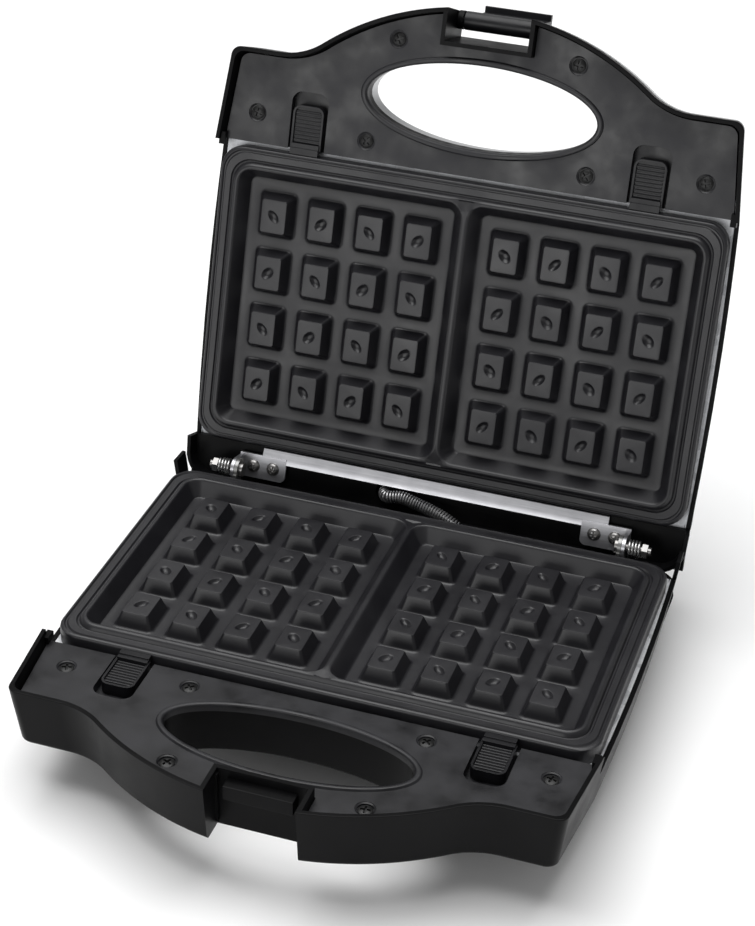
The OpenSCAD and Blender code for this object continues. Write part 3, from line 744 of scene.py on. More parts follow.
HOUSING = Finish("black_housing", (0.0024, 0.0024, 0.0026), (0.0040, 0.0040, 0.0044), 0.38, grain_depth=0.02,
                 gloss=0.08)
SILVER = Finish("silver_housing", (0.36, 0.37, 0.38), (0.42, 0.43, 0.44), 0.34, 0.6, 0.04, 30, 0.12, 0.01,
                0.25)
COVER = Finish("dark_cover", (0.0050, 0.0050, 0.0060), (0.0180, 0.0180, 0.0210), 0.42, rough_drift=0.14,
               patch_mm=16, grain_mm=0.6, gloss=0.40)
BUTTON = Finish("button_plastic", (0.0040, 0.0040, 0.0050), (0.0066, 0.0066, 0.0082), 0.36, gloss=0.30)
NONSTICK = Finish("nonstick_casting", (0.0068, 0.0066, 0.0084), (0.0108, 0.0106, 0.0130), 0.40, 0.0, 0.06,
                  26, 0.35, 0.05)
TRAY = Finish("tray_steel", (0.50, 0.51, 0.53), (0.68, 0.69, 0.71), 0.50, 0.45, 0.08, 5.0, 0.8, 0.01,
              surface=Surface.SPANGLED)
BAR = Finish("bar_steel", (0.42, 0.42, 0.44), (0.50, 0.50, 0.52), 0.34, 0.9, 0.06, 12, 0.5, 0.006,
             surface=Surface.BRUSHED)
HINGE_STEEL = Finish("hinge_steel", (0.20, 0.20, 0.20), (0.30, 0.30, 0.29), 0.36, 0.85, 0.08, 6, 0.5, 0.02)
ELEMENT = Finish("element_sheath", (0.12, 0.11, 0.10), (0.22, 0.19, 0.17), 0.48, 0.8, 0.08, 18, 0.5, 0.03)
FIXINGS = Finish("bright_fixings", (0.20, 0.20, 0.20), (0.30, 0.29, 0.28), 0.30, 0.95, 0.06, 3, 0.3, 0.01)
BLACK_SCREW = Finish("black_screws", (0.004, 0.004, 0.004), (0.008, 0.008, 0.008), 0.42, patch_mm=2,
                     grain_mm=0.3, gloss=0.4)
WIRE = Finish("spring_wire", (0.45, 0.45, 0.45), (0.56, 0.56, 0.55), 0.25, 0.95, 0.05, 4, 0.3, 0.01)
GUARD = Finish("conduit_steel", (0.26, 0.26, 0.27), (0.36, 0.36, 0.36), 0.3, 0.9, 0.08, 6, 0.4, 0.01)
CONTROL = Finish("control_metal", (0.52, 0.52, 0.50), (0.64, 0.63, 0.60), 0.38, 0.85)
CERAMIC = Finish("ceramic", (0.74, 0.72, 0.67), (0.82, 0.80, 0.76), 0.5, patch_mm=5)
SLEEVING = Finish("lead_sleeving", (0.68, 0.66, 0.60), (0.78, 0.76, 0.71), 0.8, patch_mm=3, grain_mm=0.25,
                  grain_depth=0.08, surface=Surface.WOVEN)
RUBBER = Finish("foot_rubber", (0.010, 0.010, 0.010), (0.016, 0.016, 0.016), 0.72, grain_mm=0.3,
                grain_depth=0.05)
RED_LENS = Finish("red_lens", (0.45, 0.02, 0.015), (0.55, 0.03, 0.02), 0.16, rough_drift=0.04, coat=0.5,
                  surface=Surface.LENS)
GREEN_LENS = Finish("green_lens", (0.02, 0.32, 0.06), (0.03, 0.40, 0.08), 0.16, rough_drift=0.04,
                    coat=0.5, surface=Surface.LENS)


def show(name: str, solid: Solid, place: Matrix, body: str, finish: Finish, *nodes: str) -> bpy.types.Object:
    """Puts a solid in the scene as one piece of the waffle maker.

    Args:
        name: the piece's name.
        solid: its shape in millimetres.
        place: the move to the frame's metres.
        body: the body that it rides on.
        finish: its finish.
        nodes: the frame's nodes that it stands for.

    Returns:
        The new object.
    """
    mesh = solid.moved(place).mesh
    mesh.name = name
    mesh.materials.clear()
    mesh.materials.append(finish.material())
    mesh.polygons.foreach_set("use_smooth", [True] * len(mesh.polygons))
    mesh.set_sharp_from_angle(angle=math.radians(38))
    piece = bpy.data.objects.new(name, mesh)
    bpy.context.scene.collection.objects.link(piece)
    steady = piece.modifiers.new("steady", "WEIGHTED_NORMAL")
    steady.keep_sharp = True
    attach(piece, body)
    if nodes:
        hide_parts(*nodes)
    log.info("%s: %d faces", name, len(mesh.polygons))
    return piece


def dress(node: str, finish: Finish, soft_mm: float = 0.15) -> None:
    """Gives a node of the frame its finish and softens its edges.

    Args:
        node: the node's name.
        finish: its finish.
        soft_mm: the width of the softened edges, or 0 to leave them.
    """
    piece = frame["nodes"][node]
    for slot in piece.material_slots:
        slot.material = finish.material()
    if not piece.material_slots:
        piece.data.materials.append(finish.material())
    if soft_mm:
        bevel = piece.modifiers.new("soft_edges", "BEVEL")
        bevel.width = soft_mm * MM
        bevel.segments = 2
        bevel.limit_method = "ANGLE"
        bevel.angle_limit = math.radians(40)
    log.info("%s dressed", node)


# ---------------------------------------------------------------- cooking plates

@dataclass
class WafflePlate:
    """One cast plate with two cells of dimpled pegs, a raised rim and a stepped flange."""

    half: Half
    node: str
    side_points: int = 8
    rim_in: float = 9.2
    floor_in: float = 13.0
    ridge_half: float = 1.3
    ridge_foot: float = 5.6
    rim_top: float = 0.3
    peg_top: float = 1.0
    dimple_l: float = 2.9
    dimple_slim: float = 1.8
    dimple_wide: float = 2.1
    dimple_lean: float = 42.0

    def __post_init__(self) -> None:
        """Works out the pegs' sizes."""
        self.half_floor = S.plate_w / 2 - self.floor_in
        self.peg_w = (self.half_floor - self.ridge_foot - (S.peg_count + 1) * S.peg_gap) / S.peg_count
        self.peg_l = (S.plate_l - 2 * self.floor_in - (S.peg_count + 1) * S.peg_gap) / S.peg_count

    @staticmethod
    def loop(x0: float, x1: float, y0: float, y1: float, r_in: float, r_out: float, side: int) -> list[Flat]:
        """A closed loop with as many points on each side, for lofting one ring into the next.

        Args:
            x0, x1, y0, y1: the rectangle.
            r_in: the radius of the two corners at x0.
            r_out: the radius of the two corners at x1.
            side: points along each side, from the middle of one corner to the next.

        Returns:
            4 * side points, starting at the corner x0, y0.
        """
        share = max(2, side // 8)
        corners = [(x0, y0, r_in), (x1, y0, r_out), (x1, y1, r_out), (x0, y1, r_in)]
        points: list[Flat] = []
        for k in range(4):
            (ax, ay, ar), (bx, by, br) = corners[k], corners[(k + 1) % 4]
            ux, uy = (bx - ax), (by - ay)
            length = math.hypot(ux, uy)
            ux, uy = ux / length, uy / length
            nx, ny = -uy, ux
            ra, rb = max(ar, 1e-4), max(br, 1e-4)
            for i in range(side):
                if i < share and ar > 0:
                    t = math.radians(45 + 45 * i / share)
                    along, inward = ra - ra * math.cos(t), ra - ra * math.sin(t)
                elif i > side - share and br > 0:
                    t = math.radians(45 + 45 * (side - i) / share)
                    along, inward = length - (rb - rb * math.cos(t)), rb - rb * math.sin(t)
                else:
                    first = share if ar > 0 else 0
                    last = side - share if br > 0 else side
                    start, end = (ra if ar > 0 else 0), length - (rb if br > 0 else 0)
                    along, inward = start + (end - start) * (i - first) / (last - first), 0.0
                points.append((ax + ux * along + nx * inward, ay + uy * along + ny * inward))
        return points

    def peg_loops(self, cx: float, cy: float, slanted: bool) -> list[list[Point]]:
        """The rings of one peg, from its dimple out to the square of floor round it.

        Args:
            cx, cy: the peg's centre.
            slanted: which way its oval dimple leans.

        Returns:
            Rings of points, each with four sides of as many points.
        """
        n = 4 * self.side_points
        top_w, top_l = self.peg_w - 2 * S.peg_draft, self.peg_l - 2 * S.peg_draft
        a, lean = (self.dimple_slim, self.dimple_lean) if slanted else (self.dimple_wide, -self.dimple_lean)
        c, s = math.cos(math.radians(lean)), math.sin(math.radians(lean))
        rings = []
        for grow, depth in ((0.25, 1.5), (0.62, 1.25), (0.92, 0.5), (1.06, 0.08), (1.22, 0.0)):
            ring = []
            for i in range(n):
                t = math.radians(225) + math.tau * i / n
                x, y = a * grow * math.cos(t), self.dimple_l * grow * math.sin(t)
                ring.append((cx + x * c - y * s, cy + x * s + y * c, -self.peg_top - depth))
            rings.append(ring)
        drop = S.cell_depth - self.peg_top
        shapes = [(top_w - 1.5, top_l - 1.5, 0.8, 0.0), (top_w - 0.5, top_l - 0.5, 1.0, 0.08),
                  (top_w + 0.1, top_l + 0.1, 1.1, 0.5),
                  (self.peg_w - 0.9, self.peg_l - 0.9, 1.7, drop - 0.9),
                  (self.peg_w + 0.2, self.peg_l + 0.2, 2.1, drop - 0.35),
                  (self.peg_w + 1.7, self.peg_l + 1.7, 2.6, drop)]
        for w, l, r, depth in shapes:
            flat = self.loop(cx - w / 2, cx + w / 2, cy - l / 2, cy + l / 2, r, r, self.side_points)
            rings.append(level(flat, self.peg_top + depth))
        w, l = self.peg_w + S.peg_gap, self.peg_l + S.peg_gap
        flat = self.loop(cx - w / 2, cx + w / 2, cy - l / 2, cy + l / 2, 0, 0, self.side_points)
        rings.append(level(flat, S.cell_depth))
        return rings

    def cell_rings(self) -> list[list[Point]]:
        """The rings of the right-hand cell, from the block of pegs out to the rim's outer crest.

        Returns:
            Closed rings of points.
        """
        side = self.side_points * S.peg_count
        mid = -S.plate_mid
        block_x0 = self.ridge_foot + S.peg_gap / 2
        block_x1 = block_x0 + S.peg_count * (self.peg_w + S.peg_gap)
        block_y = S.peg_count * (self.peg_l + S.peg_gap) / 2
        floor_y, top_y = S.plate_l / 2 - self.floor_in, S.plate_l / 2 - self.rim_in
        floor_x, top_x = self.half_floor, S.plate_w / 2 - self.rim_in
        table = [
            (block_x0, block_x1, block_y, 0, 0, S.cell_depth),
            (self.ridge_foot + 0.9, floor_x - 0.9, floor_y - 0.9, 2.2, 2.2, S.cell_depth),
            (self.ridge_foot + 0.2, floor_x - 0.1, floor_y - 0.1, 3.0, 3.0, S.cell_depth - 0.3),
            (self.ridge_foot - 0.3, floor_x + 0.35, floor_y + 0.35, 3.4, 3.4, S.cell_depth - 1.1),
            (self.ridge_half + 0.5, top_x - 0.35, top_y - 0.35, 6.0, 6.0, self.rim_top + 0.9),
            (self.ridge_half + 0.1, top_x - 0.05, top_y - 0.05, 6.3, 6.3, self.rim_top + 0.3),
            (self.ridge_half - 0.5, top_x + 0.5, top_y + 0.5, 6.8, 6.8, self.rim_top),
        ]
        return [level(self.loop(x0, x1, mid - hy, mid + hy, ri, ro, side), o)
                for x0, x1, hy, ri, ro, o in table]

    def flange_rings(self) -> list[tuple[float, float, float]]:
        """Inset, corner radius and depth of each ring from the rim's crest out and round below.

        Returns:
            The three numbers of each ring.
        """
        foot = S.tray_top
        return [(8.0, 7.5, self.rim_top), (7.3, 8.2, 0.55), (6.7, 8.6, 1.3), (6.2, 8.8, 2.5),
                (5.6, 9.0, 2.6), (5.1, 9.2, 2.0), (2.7, 9.6, 2.0), (2.2, 9.7, 2.6), (1.7, 9.8, 2.6),
                (1.3, 9.9, 2.0), (0.7, 10.0, 2.05), (0.2, 10.0, 2.5), (0.0, 10.0, 3.4),
                (0.1, 10.0, foot - 0.4), (0.4, 10.0, foot), (1.7, 9.0, foot), (2.0, 8.8, foot - 0.4),
                (2.2, 8.6, 4.4), (7.2, 8.0, 4.2), (7.6, 7.8, 9.2), (8.4, 7.5, 9.7)]

    def build(self) -> Solid:
        """The whole plate.

        Returns:
            A closed solid in the half's millimetres.
        """
        bm = bmesh.new()
        side = self.side_points * S.peg_count
        mid = -S.plate_mid

        for mirror in (1, -1):
            for i in range(S.peg_count):
                for j in range(S.peg_count):
                    cx = self.ridge_foot + S.peg_gap + self.peg_w / 2 + i * (self.peg_w + S.peg_gap)
                    cy = mid + (j - (S.peg_count - 1) / 2) * (self.peg_l + S.peg_gap)
                    slanted = (i + j) % 2 == 1
                    loops = self.peg_loops(cx, cy, slanted)
                    rings = [[bm.verts.new((mirror * x, y, z)) for x, y, z in ring] for ring in loops]
                    for low, high in zip(rings, rings[1:]):
                        bridge(bm, low, high)
                    bm.faces.new(rings[0])
            rings = [[bm.verts.new((mirror * x, y, z)) for x, y, z in ring] for ring in self.cell_rings()]
            inset, r, _ = self.flange_rings()[0]
            crest = self.loop(0, S.plate_w / 2 - inset, mid - S.plate_l / 2 + inset,
                              mid + S.plate_l / 2 - inset, 0, r, side)
            tops = []
            for k, (x, y) in enumerate(crest):
                fork = max(0.0, 1 - (abs(x) + 0.8 * (S.plate_l / 2 - inset - abs(y - mid))) / 4.5)
                tops.append(bm.verts.new((mirror * x, y, -self.rim_top - 1.1 * fork)))
            rings.append(tops)
            for low, high in zip(rings, rings[1:]):
                bridge(bm, low, high)
        outer = []
        for number, (inset, r, depth) in enumerate(self.flange_rings()):
            flat = self.loop(0, S.plate_w / 2 - inset, mid - S.plate_l / 2 + inset,
                             mid + S.plate_l / 2 - inset, 0, r, side)
            right = flat[:3 * side + 1]
            path = right + [(-x, y) for x, y in reversed(right[1:-1])]
            fork = [max(0.0, 1 - abs(x) / 4.5) if number == 0 else 0.0 for x, _ in path]
            outer.append([bm.verts.new((x, y, -depth - 1.1 * f)) for (x, y), f in zip(path, fork)])
        for low, high in zip(outer, outer[1:]):
            bridge(bm, low, high)
        bm.faces.new(outer[-1])
        return Solid.wrap(bm, 0.002)

    def show(self) -> None:
        """Builds the plate and puts it in its half."""
        show(f"{self.node}_casting", self.build(), self.half.place(), self.half.value, NONSTICK, self.node)


# ---------------------------------------------------------------- housings

def edge_levels(inset: float, rear: float, top: float, bottom: float, soft: float) -> list[list[Point]]:
    """Rings of a drafted wall whose lower edge is rounded.

    Args:
        inset: how far inside the outer wall it runs.
        rear: reach behind the hinge axis.
        top, bottom: its depths.
        soft: the radius of the lower edge, 0 for a sharp one.

    Returns:
        The rings, from the top down.
    """
    rings = [drafted(inset, rear, top)]
    for k in range(5) if soft else ():
        turn = math.radians(90 * k / 4)
        pull, lift = soft * (1 - math.cos(turn)), soft * (1 - math.sin(turn))
        rings.append(drafted(inset + pull, rear, bottom - lift))
    if not soft:
        rings.append(drafted(inset, rear, bottom))
    return rings


def bowl(inset: float, rear: float, depth: float) -> Solid:
    """The body's deeper part behind the handle, with soft lower edges.

    Args:
        inset: how far inside its wall it runs.
        rear: reach behind the hinge axis.
        depth: its depth.

    Returns:
        The solid, starting inside the handle's depth.
    """
    body_front = S.plate_front + 4
    spots = [(4.0, 3.6, 0.0, S.handle_depth - 4), (11.0, 8.6, 8.4, depth - 5.2)]
    for k in range(1, 7):
        turn = math.radians(15 * k)
        pull = 4.0 * (1 - math.cos(turn))
        spots.append((11.5 + pull, 9 + pull, 9 + pull, depth - 4.4 * (1 - math.sin(turn))))
    rings = []
    for side_in, rear_in, front_in, z in spots:
        w = 2 * (S.body_hw - side_in - inset)
        back, front = rear - rear_in - inset, body_front - front_in - inset
        shape = rounded_rect(w, back + front, 14 - inset, 10)
        rings.append(level(at(shape, 0, (back - front) / 2), z))
    return Solid.loft(rings)


def grip(a: float, b: float, top: float, bottom: float) -> Solid:
    """An upright oval column at the finger hole."""
    return Solid.prism(at(ellipse(a, b), 0, -S.grip_mid), top, bottom)


def notch(extra: float, top: float, bottom: float) -> Solid:
    """The latch notch's volume, grown by extra on its sides and back."""
    w = S.notch_w / 2 + extra
    return Solid.block(-w, w, S.notch_back - extra, S.handle_front + 5, top, bottom)


def side_openings() -> Solid:
    """The space over the lowered side walls beside the plates."""
    return Solid.block(-SIDE_REACH, SIDE_REACH, S.plate_rear - 1.2, S.cover_rear, -2, S.side_drop)


def handle_lugs() -> Solid:
    """Small lugs inside the walls' ends, at the rear corners of the handle.

    Returns:
        Both lugs as one solid.
    """
    x = side_x(S.cover_rear) - S.lug_in
    return Solid.gather(
        Solid.block(*span(s, x, x - S.lug_w), S.cover_rear - 2.4, S.cover_rear + 3, 2.0,
                    S.cover_drop - S.gap) for s in (-1, 1))


def latch_place() -> Matrix:
    """The place of the latch's pin in the lid, with z along it."""
    return Matrix.Translation((0, LATCH_BACK - S.handle_front, -LATCH_DEPTH)) @ quarter("Y")


@dataclass
class Housing:
    """The shell of one half: outer wall, handle with its finger hole, body and hinge bay."""

    half: Half
    depth: float
    soft: float = 2.2
    flare: float = 1.2
    draw: float = 0.0
    bay_y: float = 9.3
    bay_floor: float = 26.0

    @property
    def rear(self) -> float:
        """Reach behind the hinge axis."""
        return REAR[self.half.value]

    def outer(self) -> Solid:
        """The filled outer form, down to the full depth.

        Returns:
            The form, with no hollow in it.
        """
        rings = edge_levels(0, self.rear, S.gap + 0.5, S.handle_depth, self.soft)
        lip = [drafted(0.5, self.rear, S.gap), drafted(0.15, self.rear, S.gap + 0.15)]
        return Solid.loft(lip + rings) | bowl(0, self.rear, self.depth)

    def column(self, grow: float, top: float) -> Solid:
        """The finger hole's column, flared where it meets the outer face.

        Args:
            grow: how far it is wider than the sleeve.
            top: the depth it starts at.

        Returns:
            The column.
        """
        a, b = S.grip_a + grow, S.grip_b + grow
        spots = [(0.0, top), (0.0, S.band_depth), (self.draw, S.handle_depth - self.flare)]
        for k in range(1, 7):
            turn = math.radians(15 * k)
            g = self.draw + self.flare * (1 - math.cos(turn))
            spots.append((g, S.handle_depth - self.flare * (1 - math.sin(turn))))
        spots.append((self.draw + self.flare + 0.2, S.handle_depth + 1))
        return Solid.loft([level(at(ellipse(a + g, b + g), 0, -S.grip_mid), o) for g, o in spots])

    def hollow(self) -> Solid:
        """The space inside the walls, without the sleeve, the notch's walls and the bay's floor.

        Returns:
            The space as a solid to cut away.
        """
        room = Solid.loft([drafted(S.wall, self.rear, d) for d in (-1, S.handle_depth - S.wall)])
        room = room - notch(S.wall, -3, S.handle_depth + 1)
        room = room - self.column(0, S.cover_under)
        deep = bowl(S.wall, self.rear, self.depth - S.wall)
        deep = deep - Solid.block(-FAR, FAR, S.plate_front + 3, FAR, -2, self.depth)
        floor = Solid.block(-FAR, FAR, -self.rear - 5, self.bay_y, self.bay_floor, self.bay_floor + 2)
        return (room | deep) - floor

    def shell(self) -> Solid:
        """The half's whole hollow shell, before it is split or trimmed."""
        sleeve = self.column(-S.grip_t, -2)
        return self.outer() - self.hollow() - notch(0, -2, S.handle_depth + 2) - sleeve - side_openings()


@dataclass
class BaseShell:
    """The black housing of the base, with its hinge bay, cord boss, catch and feet."""

    housing: Housing = field(default_factory=lambda: Housing(Half.BASE, BASE_DEPTH))
    cord_x: float = 62.0
    cord_depth: float = 35.5
    cord_bore: float = 5.0
    boss_r: float = 9.0
    boss_end: float = 11.5
    bay_r: float = 12.0
    step_depth: float = 20.0
    foot_x: float = S.body_hw - 34
    foot_rear: float = 8.0
    catch_hw: float = 14.0
    catch_front: float = 206.6
    catch_top: float = 4.0
    catch_under: float = 10.3
    rib_hw: float = 0.9
    rib_under: float = 24.0

    def cord_place(self) -> Matrix:
        """The place of the supply lead's hole in the rear wall."""
        return Matrix.Translation((self.cord_x, 0, -self.cord_depth)) @ quarter("X", -1)

    def feet_spots(self) -> list[Flat]:
        """The places of the feet, as x and distance."""
        return [(s * self.foot_x, d) for s in (-1, 1) for d in (self.foot_rear, S.plate_front - 20)]

    def build(self) -> Solid:
        """The housing with everything moulded into it.

        Returns:
            The housing, with its edges still sharp.
        """
        shell = self.housing.shell()
        boss = Solid.rod(self.boss_r, -3, self.boss_end, 48).moved(self.cord_place())
        bore = Solid.rod(self.cord_bore, -12, 22, 48).moved(self.cord_place())
        bay = Solid.rod(self.bay_r, -130, 130, 64)
        bay = bay.moved(Matrix.Translation((0, 0, -HINGE_DROP)) @ quarter("Y"))
        bay = bay & Solid.block(-160, 160, -40, 0.5, -30, 40)
        shell = (shell | boss) - bore - bay
        shell = shell - Solid.block(-160, 160, -40, -1, -8, self.step_depth)
        return shell | self.catch() | self.panel_ribs() | handle_lugs()

    def catch(self) -> Solid:
        """The ledge in the notch that the clasp hooks under."""
        return Solid.block(-self.catch_hw, self.catch_hw, S.notch_back - 0.9, self.catch_front,
                           self.catch_top, self.catch_under).softened(0.5, 2)

    def panel_ribs(self) -> Solid:
        """Upright ribs in the notch's side walls, where the clasp is guided.

        Returns:
            Both ribs as one solid.
        """
        x = S.notch_w / 2
        return Solid.gather(
            Solid.block(s * x - self.rib_hw, s * x + self.rib_hw, S.notch_back - 0.5, S.notch_back + 2.2,
                        2, self.rib_under) for s in (-1, 1))

    def foot(self) -> Solid:
        """One rubber foot, turned, with a recess for its screw.

        Returns:
            The foot, hanging down from the origin.
        """
        h = S.foot_h
        return Solid.lathe([(1.7, 0), (1.7, 2.6 - h), (3.2, 2.5 - h), (3.2, 0.4 - h), (3.6, -h), (5.9, -h),
                            (6.3, 0.4 - h), (6.9, -h / 2), (7.5, -0.5), (7.4, 0)], 48)

    def bush(self) -> Solid:
        """The rubber bush of the supply lead, with ribs round its outer collar.

        Returns:
            The bush in its place.
        """
        profile = [(3.4, -5), (6.2, -5), (6.5, -4.6), (6.5, -3.4), (6.2, -3), (4.95, -3), (4.95, 11.5),
                   (7.2, 11.5), (7.5, 11.8), (7.5, 13.4), (7.1, 13.9), (3.9, 13.9), (3.4, 13.4)]
        return Solid.lathe(profile, 48).moved(self.cord_place())

    def show(self) -> None:
        """Builds the housing, its feet and the bush."""
        place = Half.BASE.place()
        show("base_housing", self.build().softened(0.35), place, "base", HOUSING, "base_shell")
        foot = self.foot()
        feet = Solid.gather(foot.shifted(x, -d, -BASE_DEPTH) for x, d in self.feet_spots())
        show("rubber_feet_moulded", feet, place, "base", RUBBER, "rubber_feet")
        show("cord_bush_moulded", self.bush(), place, "base", RUBBER, "cord_bush")


@dataclass
class LidShell:
    """The lid's black band and its silver outer skin, with lamps on top."""

    housing: Housing = field(default_factory=lambda: Housing(Half.LID, LID_DEPTH, 6.0, 5.6, 0.6))
    lamp_x: float = 8.0
    lamp_in: float = 16.0
    shelf_front: float = 9.3
    shelf_top: float = 6.3
    shelf_t: float = 2.0
    hood_near: float = 30.0
    hood_far: float = 64.5
    lead_hole: float = 4.4

    def band(self) -> Solid:
        """The black band round the opening, with the notch's rim, the bar's shelf and the hoods.

        Returns:
            The band, with its edges still sharp.
        """
        rear = self.housing.rear
        rings = [drafted(0.5, rear, S.gap), drafted(0.15, rear, S.gap + 0.15), drafted(0, rear, S.gap + 0.5),
                 drafted(0, rear, S.band_depth - 0.01)]
        room = Solid.loft([drafted(S.wall, rear, -1), drafted(S.wall, rear, S.band_depth + 1)])
        ring = Solid.loft(rings) - (room - notch(S.wall, -3, 30)) - notch(0, -2, 30) - side_openings()
        shelf_x = S.body_hw - S.wall - 1
        shelf = Solid.block(-shelf_x, shelf_x, -rear + 1, self.shelf_front, self.shelf_top,
                            self.shelf_top + self.shelf_t)
        hoods = Solid.gather(
            Solid.block(*span(s, self.hood_near, self.hood_far), -rear, -8.4, -8, 6) for s in (-1, 1))
        lead = Solid.rod(self.lead_hole, -30, 30).shifted(LEAD_X, 0.6)
        inner = grip(S.grip_a - S.grip_t, S.grip_b - S.grip_t, S.cover_under - 1, S.band_depth + 1)
        sleeve = grip(S.grip_a, S.grip_b, S.cover_under, S.band_depth) - inner
        band = (ring | shelf | hoods.softened(0.8) | handle_lugs()) - lead
        return band | self.notch_liner() | sleeve

    def skin(self) -> Solid:
        """The silver outer skin with the finger hole's sleeve."""
        above = Solid.block(-FAR, FAR, -60, 240, -5, S.band_depth)
        return self.housing.shell() - above - notch(S.wall, -3, 40)

    def notch_liner(self) -> Solid:
        """The black walls of the latch notch, with the bosses of the latch pin.

        Returns:
            The walls and bosses as one solid.
        """
        walls = (self.housing.outer() & notch(S.wall, -1, 40)) - notch(0, -2, 41)
        boss = Solid.lathe([(0, -1.35), (3.7, -1.35), (4, -1.0), (4, 1.35), (0, 1.35)])
        bosses = Solid.gather(
            boss.shifted(z=s * (S.notch_w / 2 - 1.35)).moved(latch_place()) for s in (-1, 1))
        return walls | bosses

    def lamp(self) -> Solid:
        """One domed lamp lens."""
        return Solid.lathe([(0, -1.6), (1.2, -1.5), (2.2, -1.15), (2.9, -0.55), (3.2, 0.0), (2.5, 0.05),
                            (2.5, 6), (0, 6)], 40)

    def show(self) -> None:
        """Builds the band, the skin and the lamps."""
        place = Half.LID.place()
        show("lid_band", self.band().softened(0.3), place, "lid", HOUSING, "lid_frame")
        show("lid_skin", self.skin().softened(0.35), place, "lid", SILVER, "lid_shell")
        d = S.plate_front - self.lamp_in
        for side, node, finish in ((-1, "power_lamp", RED_LENS), (1, "ready_lamp", GREEN_LENS)):
            lens = self.lamp().shifted(side * self.lamp_x, -d, -LID_DEPTH)
            show(f"{node}_lens", lens, place, "lid", finish, node)


# ---------------------------------------------------------------- handle covers

@dataclass
class HandleCover:
    """A handle's inner cover: collar, screw seats, button recesses and its six screws."""

    half: Half
    recess_depth: float = 4.2
    recess_r: float = 4.6
    collar_rise: float = 1.0
    screw_turns: tuple[float, ...] = (17, 64, 38, 75, 5, 52)

    def recess(self, grow: float, top: float, bottom: float, side: int) -> Solid:
        """The volume of one button recess, with round corners towards the handle.

        Args:
            grow: how far it is grown.
            top, bottom: its depths.
            side: -1 for the left one and 1 for the right one.

        Returns:
            The volume.
        """
        w = S.button_w / 2 + S.button_gap + grow
        front = S.button_rear + S.button_l + S.button_travel + 1.2 + grow
        r = self.recess_r + grow
        rear = S.cover_rear - (5 if not grow else 0)
        shape = [(-w, -rear), (w, -rear)]
        shape += arc(w - r, -front + r, r, 0, -90, 8)
        shape += arc(-w + r, -front + r, r, -90, -180, 8)
        return Solid.prism(at(reversed(shape), side * S.button_x), top, bottom)

    def collar(self) -> Solid:
        """The raised oval lip round the finger hole, with rounded crests.

        Returns:
            The lip, in its place.
        """
        top = S.cover_drop - self.collar_rise
        rings = []
        for a, b, o in ((S.grip_a + 0.9, S.grip_b + 0.9, S.cover_drop + 0.2),
                        (S.grip_a + 0.5, S.grip_b + 0.5, S.cover_drop),
                        (S.grip_a + 0.1, S.grip_b + 0.1, top + 0.25), (S.grip_a - 0.3, S.grip_b - 0.3, top),
                        (S.grip_a - 1.5, S.grip_b - 1.5, top), (S.grip_a - 2.1, S.grip_b - 2.1, top + 0.3),
                        (S.grip_a - S.grip_t, S.grip_b - S.grip_t, top + 0.9),
                        (S.grip_a - S.grip_t, S.grip_b - S.grip_t, S.cover_under),
                        (S.grip_a, S.grip_b, S.cover_under)):
            rings.append(level(at(ellipse(a, b), 0, -S.grip_mid), o))
        bm = bmesh.new()
        made = [[bm.verts.new(p) for p in ring] for ring in rings]
        for low, high in zip(made, made[1:] + made[:1]):
            bridge(bm, low, high)
        return Solid.wrap(bm)

    def build(self) -> Solid:
        """The cover plate.

        Returns:
            The plate with its recesses and seats, without the collar.
        """
        draft = (1 - S.taper) * S.cover_under / S.handle_depth * (S.handle_front - S.taper_mid)
        inset = S.wall + 0.2 + draft
        slab = Solid.prism(outline(inset, 0), S.cover_drop, S.cover_under)
        slab = slab & Solid.block(-140, 140, S.cover_rear, 240, 0, 20)
        slab = slab - grip(S.grip_a - 0.2, S.grip_b - 0.2, 0, 20) - notch(S.wall + 0.3, -1, 20)
        floor = S.cover_drop + self.recess_depth
        cups = [self.recess(S.wall, S.cover_drop + 0.05, floor + S.cover_t, s) for s in (-1, 1)]
        pits = [self.recess(0, -1, floor, s) for s in (-1, 1)]
        slab = (slab | Solid.gather(cups)) - Solid.gather(pits)
        seat = Solid.lathe([(0, 2), (4.0, 2), (4.0, -0.25), (3.3, -0.55), (3.3, -1.2), (1.7, -1.25),
                            (1.7, -6), (0, -6)])
        return slab - Solid.gather(seat.shifted(x, -d, -S.cover_drop) for x, d in self.screw_places())

    @staticmethod
    def screw_places() -> list[Flat]:
        """The places of the six screws, as x and distance, the left ones first."""
        return [(s * x, d) for s in (-1, 1) for x, d in S.screw_spots]

    def screw(self) -> Solid:
        """A cross-head screw with a domed head.

        Returns:
            The screw, standing at the origin.
        """
        head = Solid.lathe([(0, 0.05), (1.4, -0.02), (2.4, -0.25), (2.9, -0.6), (3.0, -0.95), (2.8, -1.1),
                            (1.5, -1.15), (1.5, -9.5), (1.0, -11), (0, -11)])
        return (head - Solid.cross(2.0, 0.45, -1, 1.0)).softened(0.08, 1, 50)

    def show(self) -> None:
        """Builds the cover and its screws."""
        body = self.half.value
        place = self.half.place()
        cover = Solid.gather([self.build().softened(0.3), self.collar()])
        show(f"{body}_cover", cover, place, body, COVER, f"{body}_handle_cover")
        screw = self.screw()
        screws = []
        for (x, d), angle in zip(self.screw_places(), self.screw_turns):
            spot = Matrix.Translation((x, -d, -S.cover_drop - 0.3))
            screws.append(screw.moved(spot @ Matrix.Rotation(math.radians(angle), 4, "Z")))
        show(f"{body}_cover_screw_set", Solid.gather(screws), place, body, BLACK_SCREW,
             f"{body}_cover_screws")


